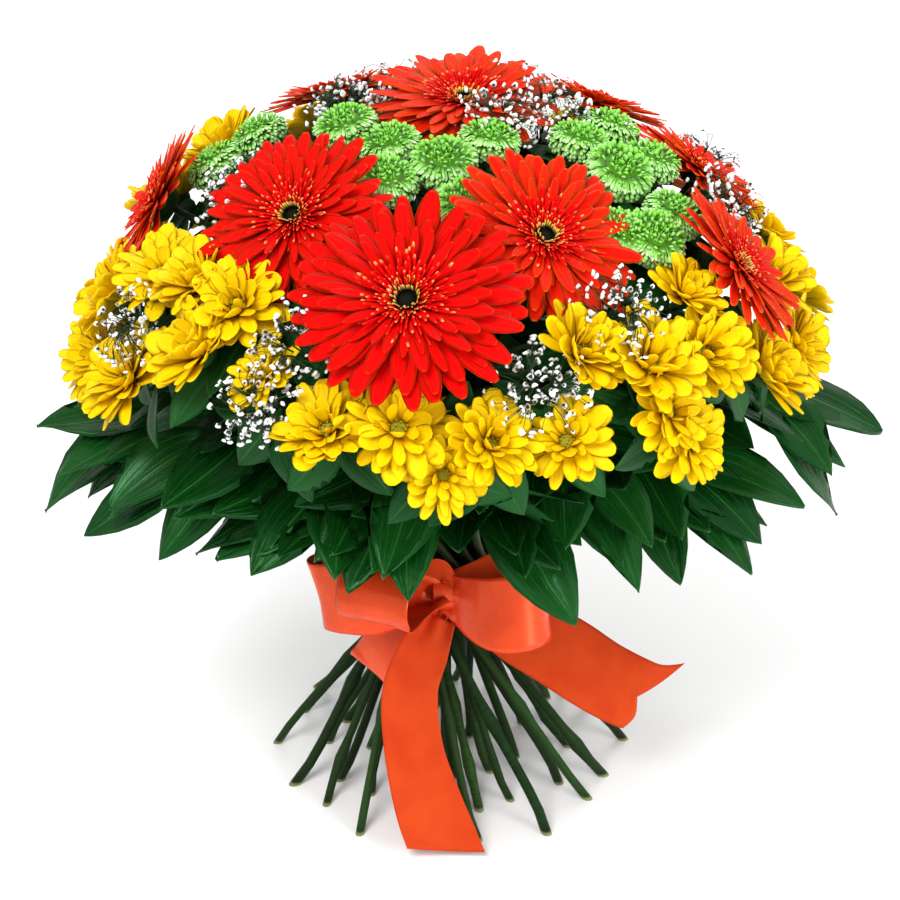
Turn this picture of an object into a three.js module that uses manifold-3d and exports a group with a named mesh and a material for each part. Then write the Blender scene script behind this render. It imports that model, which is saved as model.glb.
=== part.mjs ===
// A hand-tied round bouquet, standing on its own cut stems: red gerberas, yellow spray
// chrysanthemums, green button chrysanthemums and gypsophila over a collar of ruscus, with the
// stems crossing in a spiral under a satin ribbon and its bow.
// Millimetres and degrees, +Z up. The front is -Y; azimuths turn from the front towards +X.
import * as THREE from 'three';
import { mergeVertices } from 'three/addons/utils/BufferGeometryUtils.js';
import Module from 'manifold-3d';

const wasm = await Module();
wasm.setup();

// Driving dimensions
const tieHeight = 110; // where the stems cross under the ribbon
const headHeight = 238; // centre of the dome of flowers
const headRadius = 168;
const headRise = 114;
const spiral = 0.0375; // how far a stem leans per mm of its distance from the middle of the tie
const stray = 4.5; // how far each foot strays from its even place in the spiral
const stemRadius = 2.8;
const stemTopRadius = 2;
const clearGap = 0.5; // between neighbours that don't grow from each other
const seatGap = 0.3; // between a bloom and the stem that carries it

// The stems stand in rings at the tie, these far from its middle: 3, 9, 15 and 18 of them
const tieRings = [3.25, 9.0, 14.9, 20.8];

const colours = {
  gerbera: 0xd9180c,
  chrysanthemum: 0xf2c40a,
  button: 0x7fc04a,
  gypsophila: 0xe9efe6,
  leaf: 0x12421f,
  stem: 0x2f5a26,
  ribbon: 0xee4a2a,
};

// Gerberas, one bloom on each stem. Of two that meet, the one of higher rank lies on top, and face
// gives the way a bloom looks where that isn't straight off the dome.
const gerberas = [
  { azimuth: -8, tilt: 48, radius: 54, lift: 9, ring: 2, rank: 9 },
  { azimuth: -45, tilt: 35, radius: 47, lift: 4, ring: 1, rank: 8 },
  { azimuth: 25, tilt: 35, radius: 48, lift: 2, ring: 1, rank: 7.9 },
  { azimuth: 66, tilt: 56, radius: 42, lift: 6, ring: 2, rank: 7.8, face: [80, 49] },
  { azimuth: -96, tilt: 55, radius: 41, lift: 4, ring: 2, rank: 7.7, face: [-88, 61] },
  { azimuth: 165, tilt: 9, radius: 48, lift: 2, ring: 0, rank: 7.6, face: [0, 8] },
  { azimuth: -146, tilt: 34, radius: 42, lift: 4, ring: 1, rank: 7.5 },
  { azimuth: 135, tilt: 37, radius: 38, lift: 4, ring: 1, rank: 7.4 },
  { azimuth: 101, tilt: 46, radius: 37, lift: 2, ring: 2, rank: 7.3 },
  { azimuth: -172, tilt: 66, radius: 43, lift: 3, ring: 2, rank: 7.2 },
  { azimuth: 124, tilt: 72, radius: 42, lift: 3, ring: 2, rank: 7.1 },
];

// Spray chrysanthemums: each stem branches into blooms given as [azimuth, tilt, radius]
const chrysanthemums = [
  { ring: 3, blooms: [[-78, 70, 26], [-95, 78, 25], [-62, 80, 27], [-79, 86, 23]] },
  { ring: 2, blooms: [[-66, 56, 24], [-55, 51, 23], [-42, 51, 26]] },
  { ring: 2, blooms: [[-46, 64, 27], [-32, 63, 20], [-19, 72, 24]] },
  { ring: 3, blooms: [[-8, 70, 26], [6, 74, 27], [-1, 82, 23], [18, 77, 26]] },
  { ring: 2, blooms: [[23, 58, 23], [35, 64, 27], [47, 66, 24], [50, 54, 20]] },
  { ring: 3, blooms: [[36, 74, 20], [39, 82, 22], [60, 77, 26], [77, 82, 25]] },
  { ring: 2, blooms: [[80, 66, 22], [96, 64, 24], [94, 79, 25]] },
  { ring: 2, blooms: [[-120, 50, 24], [-116, 66, 25], [-132, 62, 24], [-113, 82, 24]] },
  { ring: 2, blooms: [[-136, 77, 26], [-150, 84, 24], [-152, 58, 25]] },
  { ring: 3, blooms: [[150, 58, 25], [164, 84, 24], [150, 78, 25], [174, 48, 24]] },
];

// Button chrysanthemums, heads given as [azimuth, tilt, radius]
const buttons = [
  { ring: 1, heads: [[-98, 17, 16], [-52, 12, 15], [-114, 37, 15], [-101, 43, 15]] },
  { ring: 0, heads: [[-29, 21, 16], [-4, 14, 16], [6, 26, 17], [43, 9, 15]] },
  { ring: 1, heads: [[85, 21, 15], [110, 29, 15], [72, 29, 17], [90, 34, 15]] },
  { ring: 1, heads: [[54, 42, 16], [67, 41, 15], [47, 38, 13]] },
];

// Gypsophila sprays, tufts given as [azimuth, tilt]
const gypsophilas = [
  { ring: 1, tufts: [[-126, 22], [-160, 26], [-70, 37]] },
  { ring: 0, tufts: [[88, 8], [150, 22]] },
  { ring: 1, tufts: [[118, 18], [110, 52], [86, 50]] },
  { ring: 2, tufts: [[32, 53], [14, 64]] },
  { ring: 2, tufts: [[-27, 58], [-33, 75]] },
  { ring: 2, tufts: [[174, 46], [-64, 68], [-172, 88]] },
];

// Ruscus stems round the collar, in two tiers. The collar is oval: it reaches less far in front and behind.
const ruscusCount = 14;
const ruscusTiers = [
  { reach: 158, front: 76, back: 138, height: 216, leave: 0.34, slope: -0.05, dip: 14 },
  { reach: 142, front: 72, back: 120, height: 202, leave: 0.32, slope: -0.15, dip: 12 },
];
const leafThickness = 1.2;
const ruscusLeaf = { length: 68, width: 29, count: 7 };
const sprayLeaf = { length: 46, width: 24, count: 3 };
const gypsophilaTuft = { twigs: 4, reach: 20, spread: 60, twigRadius: 0.6, flowerRadius: 2.6 };

// The ribbon, its band, the knot in front of it, and the loops and tails of the bow
const ribbon = { thickness: 1, bandWidth: 28, bandRadius: 25.2, bandFlare: 2.6, facets: 14 };
const knotPlace = [-3, -35.3, 115];
const knotSize = [11, 8, 13];
// The bow's loops: the right one, the left one in front, the far left one and the lower left one. Each is the
// middle line of its ribbon, the width and the way of the width at every point, gathered at the knot.
const bowLoops = [
  {
    points: [
      [-2, -36, 116], [9, -49, 117], [22, -57, 117], [35, -58, 118], [45, -52, 119], [48, -42, 120],
      [43, -35, 122], [30, -34, 123], [14, -35, 120], [-3, -36, 117]],
    widths: [13, 27, 37, 38, 38, 38, 38, 36, 26, 13],
    across: [
      [-0.1, 0.4, 0.9], [-0.1, 0.4, 0.9], [-0.1, 0.4, 0.9], [-0.1, 0.35, 0.92], [-0.1, 0.3, 0.95],
      [-0.05, 0.2, 0.97], [0, 0.1, 0.99], [0, 0.05, 1], [0, 0.05, 1], [0, 0.1, 0.99]],
  },
  {
    points: [
      [-3, -36, 117], [-14, -37, 130], [-26, -43, 138], [-35, -53, 138], [-38, -62, 131],
      [-38, -65, 121], [-34, -60, 114], [-22, -49, 112.5], [-5, -38, 113]],
    widths: [13, 28, 37, 38, 38, 38, 38, 30, 13],
    across: [
      [1, -0.1, 0.4], [1, -0.15, 0.2], [1, -0.2, 0.05], [1, -0.2, 0], [1, -0.2, 0], [1, -0.2, 0],
      [1, -0.2, 0], [0.95, -0.2, 0.2], [0.9, -0.2, 0.5]],
  },
  {
    points: [
      [-4, -36, 115], [-19, -38.7, 118], [-36, -43, 116], [-52, -42, 116], [-63, -38, 115],
      [-66, -33, 115], [-60, -29, 115], [-42, -31, 116], [-22, -34, 116], [-5, -36, 116]],
    widths: [13, 27, 36, 38, 38, 38, 38, 36, 27, 13],
    across: [
      [-0.1, 0.1, 0.98], [-0.15, 0.1, 0.98], [-0.2, 0.15, 0.95], [-0.25, 0.15, 0.95],
      [-0.25, 0.15, 0.95], [-0.25, 0.15, 0.95], [-0.25, 0.15, 0.95], [-0.2, 0.15, 0.95],
      [-0.1, 0.1, 0.98], [-0.1, 0.1, 0.98]],
  },
  {
    points: [
      [-4, -35, 112], [-15, -36, 101], [-25, -38, 88], [-33, -38, 76], [-37, -36, 67], [-34, -32, 66],
      [-27, -33, 77], [-16, -33, 93], [-5, -34, 109]],
    widths: [13, 22, 34, 38, 38, 38, 34, 22, 13],
    across: [
      [0.8, -0.2, 0.3], [0.85, -0.25, 0.2], [0.75, -0.6, -0.1], [0.68, -0.7, -0.2],
      [0.66, -0.72, -0.23], [0.66, -0.72, -0.23], [0.68, -0.7, -0.2], [0.85, -0.4, 0], [0.7, -0.5, 0.3]],
  },
];
// The middle line of each tail, its width and the way of its width at every point, and the slant of its end
const tails = [
  {
    name: 'ribbon_tail_front',
    slant: 7.5,
    points: [
      [-6, -42.1, 106], [-13, -50, 91], [-20, -57, 71], [-18, -68, 43], [-11, -83, 22], [-2, -99.5, 4.5]],
    widths: [14, 23, 27, 30, 34, 36],
    across: [
      [0.95, -0.05, 0.2], [0.95, 0, 0.2], [0.97, 0, 0.15], [0.98, 0, 0.15], [0.98, 0, 0.1],
      [0.98, 0.1, -0.05]],
  },
  {
    name: 'ribbon_tail_right',
    points: [[4, -28.9, 108], [29, -35, 97], [54, -41, 86], [76, -47, 73], [94, -50, 64], [106, -48, 59]],
    widths: [12, 32, 38, 38, 38, 35],
    across: [[0.5, 0.4, 0.75], [0.55, 0.4, 0.7], [0.6, 0.4, 0.7], [0.6, 0.35, 0.7], [0.5, 0.3, 0.8],
      [0.4, 0.3, 0.85]],
  },
];

const up = new THREE.Vector3(0, 0, 1);
const radians = THREE.MathUtils.degToRad;

// Numbers from 0 to 1 that are the same at every build
function seeded(seed) {
  let state = seed * 7919;
  return () => {
    state = (state * 16807 + 12345) % 2147483647;
    return state / 2147483647;
  };
}

function across(azimuth, radius, height) {
  const turn = radians(azimuth);
  return new THREE.Vector3(radius * Math.sin(turn), -radius * Math.cos(turn), height);
}

// A point on the dome and the way it faces, from its azimuth and its tilt off the vertical
function onDome({ azimuth, tilt, lift, face }) {
  const slope = radians(tilt);
  const point = across(azimuth, headRadius * Math.sin(slope), headHeight + headRise * Math.cos(slope));
  const out = across(azimuth, Math.sin(slope) / headRadius, Math.cos(slope) / headRise).normalize();
  const normal = face ? across(face[0], Math.sin(radians(face[1])), Math.cos(radians(face[1]))) : out;
  return { point: point.addScaledVector(out, lift), normal };
}

// A closed geometry from a list of points and triangles
function closedGeometry(points, triangles) {
  const geometry = new THREE.BufferGeometry();
  geometry.setAttribute('position', new THREE.Float32BufferAttribute(points.flatMap((p) => p.toArray()), 3));
  geometry.setIndex(triangles.flat());
  return geometry;
}

function toSolid(geometry) {
  const bare = geometry.clone();
  bare.deleteAttribute('normal');
  bare.deleteAttribute('uv');
  const merged = mergeVertices(bare, 1e-4);
  return new wasm.Manifold(new wasm.Mesh({
    numProp: 3,
    vertProperties: merged.attributes.position.array,
    triVerts: new Uint32Array(merged.index.array),
  }));
}

function toGeometry(solid) {
  const mesh = solid.getMesh();
  const geometry = new THREE.BufferGeometry();
  geometry.setAttribute('position', new THREE.BufferAttribute(mesh.vertProperties, 3));
  geometry.setIndex(new THREE.BufferAttribute(mesh.triVerts, 1));
  geometry.computeVertexNormals();
  return geometry;
}

const fuse = (solids) => solids.reduce((whole, piece) => whole.add(piece));

// A path whose rings stand exactly at its own points
class PointPath extends THREE.Curve {
  constructor(points) {
    super();
    this.points = points;
  }

  getPoint(t, target = new THREE.Vector3()) {
    const place = t * (this.points.length - 1);
    const index = Math.min(Math.floor(place), this.points.length - 2);
    return target.lerpVectors(this.points[index], this.points[index + 1], place - index);
  }

  getPointAt(t, target) {
    return this.getPoint(t, target);
  }

  getTangentAt(t, target = new THREE.Vector3()) {
    const index = Math.round(t * (this.points.length - 1));
    const before = this.points[Math.max(index - 1, 0)];
    const after = this.points[Math.min(index + 1, this.points.length - 1)];
    return target.subVectors(after, before).normalize();
  }
}

// A round stem along points, from one radius at its first point to another at its last
function tube(points, radius, endRadius, sides) {
  const last = points.length - 1;
  const { normals, binormals } = new PointPath(points).computeFrenetFrames(last, false);
  const ringPoints = [];
  points.forEach((point, k) => {
    const size = THREE.MathUtils.lerp(radius, endRadius, k / last);
    for (let i = 0; i < sides; i += 1) {
      const turn = (2 * Math.PI * i) / sides;
      ringPoints.push(point.clone()
        .addScaledVector(normals[k], size * Math.cos(turn))
        .addScaledVector(binormals[k], size * Math.sin(turn)));
    }
  });
  const at = (k, i) => k * sides + (i % sides);
  const triangles = [];
  for (let k = 0; k < last; k += 1) {
    for (let i = 0; i < sides; i += 1) {
      triangles.push([at(k, i), at(k, i + 1), at(k + 1, i + 1)], [at(k, i), at(k + 1, i + 1), at(k + 1, i)]);
    }
  }
  for (let i = 1; i < sides - 1; i += 1) {
    triangles.push([at(0, 0), at(0, i + 1), at(0, i)], [at(last, 0), at(last, i), at(last, i + 1)]);
  }
  return toSolid(closedGeometry(ringPoints, triangles));
}

// The points of a curve that leaves start along startWay and arrives at end along endWay
function bend(start, startWay, end, endWay, steps, pull = 0.38) {
  const reach = start.distanceTo(end) * pull;
  const curve = new THREE.CubicBezierCurve3(
    start,
    start.clone().addScaledVector(startWay, reach),
    end.clone().addScaledVector(endWay, -reach),
    end,
  );
  return curve.getPoints(steps);
}

// Plants and their places at the tie
const plants = [];
gerberas.forEach((g, i) => plants.push({
  kind: 'gerbera', name: `gerbera_${i + 1}`, ring: g.ring, azimuth: g.azimuth, sites: [{ ...g }],
}));

function meanAzimuth(places) {
  const sum = new THREE.Vector3();
  places.forEach(([azimuth, tilt]) => sum.add(across(azimuth, Math.sin(radians(tilt)), 0)));
  return THREE.MathUtils.radToDeg(Math.atan2(sum.x, -sum.y));
}

function addSpray(kind, name, spray, places, rank) {
  plants.push({
    kind,
    name,
    ring: spray.ring,
    azimuth: meanAzimuth(places),
    sites: places.map(([azimuth, tilt, radius]) => ({ azimuth, tilt, radius, lift: 0, rank })),
  });
}
chrysanthemums.forEach((s, i) => addSpray('chrysanthemum', `chrysanthemum_spray_${i + 1}`, s, s.blooms, 1));
buttons.forEach((s, i) => addSpray('button', `button_spray_${i + 1}`, s, s.heads, 1));
gypsophilas.forEach((s, i) => addSpray('gypsophila', `gypsophila_spray_${i + 1}`, s, s.tufts, 0));
for (let i = 0; i < ruscusCount; i += 1) {
  plants.push({
    kind: 'ruscus',
    name: `ruscus_stem_${i + 1}`,
    ring: 3,
    azimuth: (360 * (i + 0.5)) / ruscusCount - 180,
    tier: i % 2,
    sites: [],
  });
}

// A stem's azimuth at the tie runs this far ahead of its bloom's, because the stems spiral
const spiralLead = 78;
const footSpare = 6; // drawn below the ground, then cut off level with it
const bandSpare = 2; // straight past the band's edge
const wrap = (angle) => ((angle % 360) + 540) % 360 - 180;
let standing = 0;
tieRings.forEach((ringRadius, index) => {
  const members = plants.filter((p) => p.ring === index)
    .sort((a, b) => wrap(a.azimuth) - wrap(b.azimuth));
  const pitch = 360 / members.length;
  const offset = members.reduce((sum, p, i) => sum + wrap(p.azimuth) - i * pitch, 0) / members.length;
  members.forEach((p, i) => {
    p.tieAzimuth = offset + i * pitch + spiralLead;
    p.tie = across(p.tieAzimuth, ringRadius, tieHeight);
    const sideways = across(p.tieAzimuth + 90, 1, 0);
    p.way = up.clone().addScaledVector(sideways, -spiral * ringRadius)
      .sub(across(137.5 * standing, stray / tieHeight, 0));
    standing += 1;
    p.foot = p.tie.clone().addScaledVector(p.way, -(tieHeight + footSpare));
    p.release = p.tie.clone().addScaledVector(p.way, ribbon.bandWidth / 2 + bandSpare);
    p.way.normalize();
  });
});

// Where each bloom sits, and its share of the space towards each neighbour
plants.forEach((plant) => plant.sites.forEach((site) => {
  const { point, normal } = onDome(site);
  Object.assign(site, { centre: point, normal, plant, limits: [] });
}));
const blooms = plants.filter((p) => p.kind !== 'gypsophila').flatMap((p) => p.sites);
const overlapDepth = 6; // how far below another bloom one must sit to be able to lie under it
const heightOver = (a, b) => a.centre.clone().sub(b.centre).dot(b.normal);
blooms.forEach((a) => blooms.forEach((b) => {
  const apart = a.centre.distanceTo(b.centre);
  if (a === b || apart > a.radius + b.radius + 2) return;
  if (a.rank > b.rank && heightOver(b, a) < -overlapDepth) return;
  if (b.rank > a.rank && heightOver(a, b) < -overlapDepth) {
    a.limits.push(new THREE.Plane(b.normal, -b.normal.dot(b.centre) + 2 * clearGap));
    return;
  }
  const even = (apart * a.radius) / (a.radius + b.radius);
  const first = Math.min(a.radius + clearGap, apart - 0.5 * b.radius);
  const last = apart - Math.min(b.radius + clearGap, apart - 0.5 * a.radius);
  const share = { 1: first, 0: even, [-1]: last }[Math.sign(a.rank - b.rank)];
  const way = b.centre.clone().sub(a.centre).normalize();
  a.limits.push(new THREE.Plane(way, -way.dot(a.centre) - share + clearGap / 2));
}));
const clearOf = (limits, point) => limits.every((plane) => plane.distanceToPoint(point) <= 0);

// The rings of a stalk that carries a head: it starts at the fork and ends inside the head
const stalkSides = 3;
function stalkRings(points, radius) {
  const { normals, binormals } = new PointPath(points).computeFrenetFrames(points.length - 1, false);
  return points.map((point, k) => Array.from({ length: stalkSides }, (_, i) => {
    const turn = (2 * Math.PI * (i + 0.5)) / stalkSides;
    return point.clone()
      .addScaledVector(normals[k], radius * Math.cos(turn))
      .addScaledVector(binormals[k], radius * Math.sin(turn));
  }));
}

// Triangles between two rings of any size, walked round together by their angle about an axis
function bridge(points, lower, upper, centre, axis) {
  const turn = new THREE.Quaternion().setFromUnitVectors(axis, up);
  const angle = (k) => {
    const p = points[k].clone().sub(centre).applyQuaternion(turn);
    return Math.atan2(p.y, p.x);
  };
  const sorted = (ring) => {
    const first = ring.reduce((best, k, i) => (angle(k) < angle(ring[best]) ? i : best), 0);
    const turned = [...ring.slice(first), ...ring.slice(0, first)];
    return [...turned.map((k) => [k, angle(k)]), [turned[0], angle(turned[0]) + 2 * Math.PI]];
  };
  const low = sorted(lower);
  const high = sorted(upper);
  const triangles = [];
  let i = 0;
  let j = 0;
  while (i < low.length - 1 || j < high.length - 1) {
    const moveLow = j === high.length - 1 || (i < low.length - 1 && low[i + 1][1] <= high[j + 1][1]);
    if (moveLow) {
      triangles.push([low[i][0], low[i + 1][0], high[j][0]]);
      i += 1;
    } else {
      triangles.push([low[i][0], high[j + 1][0], high[j][0]]);
      j += 1;
    }
  }
  return triangles;
}

// Adds a stalk below a head, joined to the ring of the head's underside
function joinStalk(points, triangles, underside, stalk, centre, axis) {
  const rings = stalkRings(stalk.points, stalk.radius).map((ring) => ring.map((p) => points.push(p) - 1));
  const anchor = stalk.points.at(-1);
  triangles.push(...bridge(points, rings.at(-1), underside, anchor, axis));
  for (let k = 0; k < rings.length - 1; k += 1) {
    const way = stalk.points[k + 1].clone().sub(stalk.points[k]).normalize();
    triangles.push(...bridge(points, rings[k], rings[k + 1], stalk.points[k], way));
  }
  const [r0, r1, r2] = rings[0];
  const facing = points[r1].clone().sub(points[r0]).cross(points[r2].clone().sub(points[r0]));
  const away = facing.dot(stalk.points[1].clone().sub(stalk.points[0])) < 0;
  triangles.push(away ? [r0, r1, r2] : [r0, r2, r1]);
}

// A bloom of two rows of petals as one closed surface. Every petal is a blade with a ridge along
// its middle, cut shorter where a neighbour presses on it.
function bloom(site, form, stalk = null) {
  const { count, root, waist, outer, inner } = form;
  const turn = new THREE.Quaternion().setFromUnitVectors(up, site.normal);
  const place = (fraction, angle, height) => new THREE.Vector3(
    site.radius * fraction * Math.cos(angle), site.radius * fraction * Math.sin(angle), height,
  ).applyQuaternion(turn).add(site.centre);
  const pitch = (2 * Math.PI) / count;
  const points = [place(0, 0, form.eyeHeight)];
  const top = 0;
  const ring = (fraction, phase, height) => {
    const start = points.length;
    for (let i = 0; i < count; i += 1) points.push(place(fraction, (i + phase) * pitch, height));
    return (i) => start + ((i + count) % count);
  };
  // One row of petals: its side and tip points, drawn in until they clear the neighbours
  const climb = (shape) => site.radius * Math.tan(radians(shape.cup));
  const row = (shape, phase, parts) => {
    const start = points.length;
    for (let i = 0; i < count; i += 1) {
      const angle = (i + phase) * pitch;
      const swell = shape.width * pitch;
      let corners;
      for (let size = 1; size > 0.36; size -= 0.04) {
        const side = shape.side * size;
        const tip = shape.tip * size;
        const rise = (fraction) => shape.base + (fraction - root) * climb(shape);
        corners = [
          place(side, angle - swell, rise(side)),
          place(tip, angle, rise(tip) - shape.droop),
          place(side, angle + swell, rise(side)),
        ].slice(parts === 1 ? 1 : 0, parts === 1 ? 2 : 3);
        if (corners.every((p) => clearOf(site.limits, p))) break;
      }
      points.push(...corners);
    }
    return (i, part) => start + parts * ((i + count) % count) + part;
  };
  const notch = ring(root, 0.5, 0);
  const outerPetal = row(outer, 0, 3);
  const waistRing = ring(waist, 0, form.waistHeight);
  const innerPetal = row(inner, 0.5, 1);
  const triangles = [];
  for (let i = 0; i < count; i += 1) {
    const [left, tip, right] = [0, 1, 2].map((part) => outerPetal(i, part));
    const before = notch(i - 1);
    const after = notch(i);
    const near = waistRing(i);
    const far = waistRing(i + 1);
    const spike = innerPetal(i, 0);
    triangles.push(
      [before, after, right], [before, right, left], [left, right, tip],
      [near, before, left], [near, left, tip], [near, tip, right], [near, right, after], [near, after, far],
      [near, far, spike], [top, near, spike], [top, spike, far],
    );
  }
  const underside = Array.from({ length: count }, (_, i) => notch(i));
  if (stalk) {
    joinStalk(points, triangles, underside, stalk, site.centre, site.normal);
  } else {
    const bottom = points.push(place(0, 0, -form.depth)) - 1;
    underside.forEach((k, i) => triangles.push([bottom, underside[(i + 1) % count], k]));
  }
  return toSolid(closedGeometry(points, triangles));
}

const gerberaForm = {
  count: 18, root: 0.3, waist: 0.22, depth: 8, waistHeight: 3, eyeHeight: 4,
  outer: { side: 0.84, tip: 1, width: 0.45, cup: 12, droop: 1, base: 0 },
  inner: { tip: 0.7, cup: 26, droop: 0, base: 4 },
};
const chrysanthemumForm = {
  count: 7, root: 0.36, waist: 0.3, depth: 6, waistHeight: 3, eyeHeight: 5.5,
  outer: { side: 0.87, tip: 1, width: 0.42, cup: 16, droop: 0, base: 0 },
  inner: { tip: 0.76, cup: 44, droop: 0, base: 3.2 },
};

// A button head: a flattened ball studded all over with florets in relief
function buttonHead(site, stalk) {
  const turn = new THREE.Quaternion().setFromUnitVectors(up, site.normal);
  const around = 10;
  const rings = [[0.72, -0.36], [1, 0.08], [0.68, 0.48]];
  const place = (fraction, angle, height) => {
    let found;
    for (let size = 1; size > 0.4; size -= 0.04) {
      const reach = site.radius * fraction * size;
      found = new THREE.Vector3(reach * Math.cos(angle), reach * Math.sin(angle), site.radius * height);
      found.applyQuaternion(turn).add(site.centre);
      if (clearOf(site.limits, found)) break;
    }
    return found;
  };
  const points = [place(0, 0, 0.56)];
  rings.forEach(([fraction, height], k) => {
    for (let i = 0; i < around; i += 1) {
      const stud = (i + k) % 2 ? 1.05 : 0.93;
      points.push(place(fraction * stud, (2 * Math.PI * i) / around, height * stud));
    }
  });
  const at = (k, i) => 1 + k * around + (i % around);
  const triangles = [];
  for (let i = 0; i < around; i += 1) {
    triangles.push([0, at(rings.length - 1, i), at(rings.length - 1, i + 1)]);
    for (let k = 0; k < rings.length - 1; k += 1) {
      triangles.push([at(k, i), at(k, i + 1), at(k + 1, i + 1)], [at(k, i), at(k + 1, i + 1), at(k + 1, i)]);
    }
  }
  const underside = Array.from({ length: around }, (_, i) => at(0, i));
  joinStalk(points, triangles, underside, stalk, site.centre, site.normal);
  return toSolid(closedGeometry(points, triangles));
}

// Paths of the stems and their branches. A spray's branches share the last point of its stem.
const upperSteps = 4;
const branchSteps = 2;
const branchSpacing = 4.5;
const forkPlace = 0.64; // of the way from the tie to the blooms
const baseDepth = { gerbera: gerberaForm.depth + seatGap, chrysanthemum: 6, button: 9, gypsophila: 14 };
const branchRadius = { chrysanthemum: 1.5, button: 1.5, gypsophila: 1.1 };
const paths = [];
function addPath(plant, points, radius, first, fixed) {
  const path = { plant, points, radius, first, fixed };
  paths.push(path);
  return path;
}

function addBareStem(plant) {
  const bases = plant.sites.map((s) => s.centre.clone().addScaledVector(s.normal, -baseDepth[plant.kind]));
  if (plant.kind === 'gerbera') {
    const upper = bend(plant.release, plant.way, bases[0], plant.sites[0].normal, upperSteps);
    plant.stem = addPath(plant, [plant.foot, ...upper], stemRadius, 1, [0, 1, upper.length]);
    return;
  }
  const middle = bases.reduce((sum, b) => sum.add(b), new THREE.Vector3()).divideScalar(bases.length);
  const fork = plant.release.clone().lerp(middle, forkPlace);
  const forkWay = middle.clone().sub(plant.release).normalize();
  const upper = bend(plant.release, plant.way, fork, forkWay, upperSteps - 1);
  plant.stem = addPath(plant, [plant.foot, ...upper], stemRadius, 1, [0, 1]);
  plant.branches = bases.map((base, i) => {
    const points = bend(fork, forkWay, base, plant.sites[i].normal, branchSteps);
    points[0] = plant.stem.points.at(-1);
    return addPath(plant, points, branchRadius[plant.kind], 0, [branchSteps]);
  });
}

// After the stems are clear, a spray's branches are set one below the other on its stem
function spaceBranches(plant) {
  const [before, fork] = plant.stem.points.slice(-2);
  const step = branchSpacing / before.distanceTo(fork);
  plant.branches.forEach((branch, i) => {
    branch.points[0] = fork.clone().lerp(before, (i + 0.3) * step);
  });
}

// The leafy stems leave the tie with the others and arch out below the flowers
function addLeafyStem(plant) {
  const tier = ruscusTiers[plant.tier];
  const aside = Math.sin(radians(plant.azimuth)) / tier.reach;
  const ahead = Math.cos(radians(plant.azimuth));
  const reach = 1 / Math.hypot(aside, ahead / (ahead > 0 ? tier.front : tier.back));
  const tip = across(plant.azimuth, reach, tier.height);
  const outward = across(plant.azimuth, 1, tier.slope).normalize();
  const upper = bend(plant.release, plant.way, tip, outward, upperSteps + 2, tier.leave);
  plant.stem = addPath(plant, [plant.foot, ...upper], stemRadius, 1, [0, 1]);
}
plants.forEach((plant) => (plant.kind === 'ruscus' ? addLeafyStem(plant) : addBareStem(plant)));

// Every bloom also stands in the way of stems, as spokes from its middle to its rim
const spokeCount = 6;
const spokes = blooms.flatMap((site) => {
  const turn = new THREE.Quaternion().setFromUnitVectors(up, site.normal);
  const low = site.centre.clone().addScaledVector(site.normal, -2);
  return Array.from({ length: spokeCount }, (_, i) => {
    const angle = (2 * Math.PI * i) / spokeCount;
    const rim = new THREE.Vector3(Math.cos(angle), Math.sin(angle), 0.1).multiplyScalar(site.radius * 0.85);
    const points = [low, rim.applyQuaternion(turn).add(site.centre)];
    return { plant: site.plant, points, radius: 4, first: 0, fixed: [0, 1], spoke: true };
  });
});

// The points where a pair of segments come closest, as fractions along each
function closest(a, b, c, d) {
  const u = b.clone().sub(a);
  const v = d.clone().sub(c);
  const w = a.clone().sub(c);
  const uu = u.dot(u);
  const uv = u.dot(v);
  const vv = v.dot(v);
  const { clamp } = THREE.MathUtils;
  const det = uu * vv - uv * uv;
  let s = det > 1e-9 ? clamp((uv * v.dot(w) - vv * u.dot(w)) / det, 0, 1) : 0;
  const t = clamp((uv * s + v.dot(w)) / vv, 0, 1);
  s = clamp((uv * t - u.dot(w)) / uu, 0, 1);
  return [s, t];
}

// Moves two paths apart wherever they come nearer than they may
function pushApart(p, q) {
  const wanted = p.radius + q.radius + clearGap;
  for (let m = p.first; m < p.points.length - 1; m += 1) {
    for (let n = q.first; n < q.points.length - 1; n += 1) {
      const ends = [p.points[m], p.points[m + 1], q.points[n], q.points[n + 1]];
      const [s, t] = closest(...ends);
      const push = ends[0].clone().lerp(ends[1], s).sub(ends[2].clone().lerp(ends[3], t));
      const short = wanted - push.length();
      if (short > 0) {
        push.setLength(short * (q.spoke ? 1 : 0.6));
        const moves = [[p, m, 1 - s, 1], [p, m + 1, s, 1], [q, n, 1 - t, -1], [q, n + 1, t, -1]];
        moves.forEach(([path, k, share, sign]) => {
          if (!path.fixed.includes(k)) path.points[k].addScaledVector(push, sign * (0.3 + 0.7 * share));
        });
      }
    }
  }
}

const passes = 160;
const reachBox = (p) => new THREE.Box3().setFromPoints(p.points).expandByScalar(p.radius + clearGap / 2);
const spokeBoxes = spokes.map(reachBox);
for (let pass = 0; pass < passes; pass += 1) {
  const boxes = paths.map(reachBox);
  paths.forEach((p, i) => {
    for (let j = i + 1; j < paths.length; j += 1) {
      if (p.plant !== paths[j].plant && boxes[i].intersectsBox(boxes[j])) pushApart(p, paths[j]);
    }
    spokes.forEach((spoke, j) => {
      if (p.plant !== spoke.plant && boxes[i].intersectsBox(spokeBoxes[j])) pushApart(p, spoke);
    });
  });
}

plants.filter((p) => p.branches).forEach(spaceBranches);

const bouquet = new THREE.Group();
const made = [];
const boxOf = (solid) => {
  const { min, max } = solid.boundingBox();
  return new THREE.Box3(new THREE.Vector3(...min), new THREE.Vector3(...max));
};
function keep(plant, name, solid, colour, roughness = 0.6) {
  const node = { plant, name, solid, colour, roughness, box: boxOf(solid) };
  made.push(node);
  return node;
}

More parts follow.
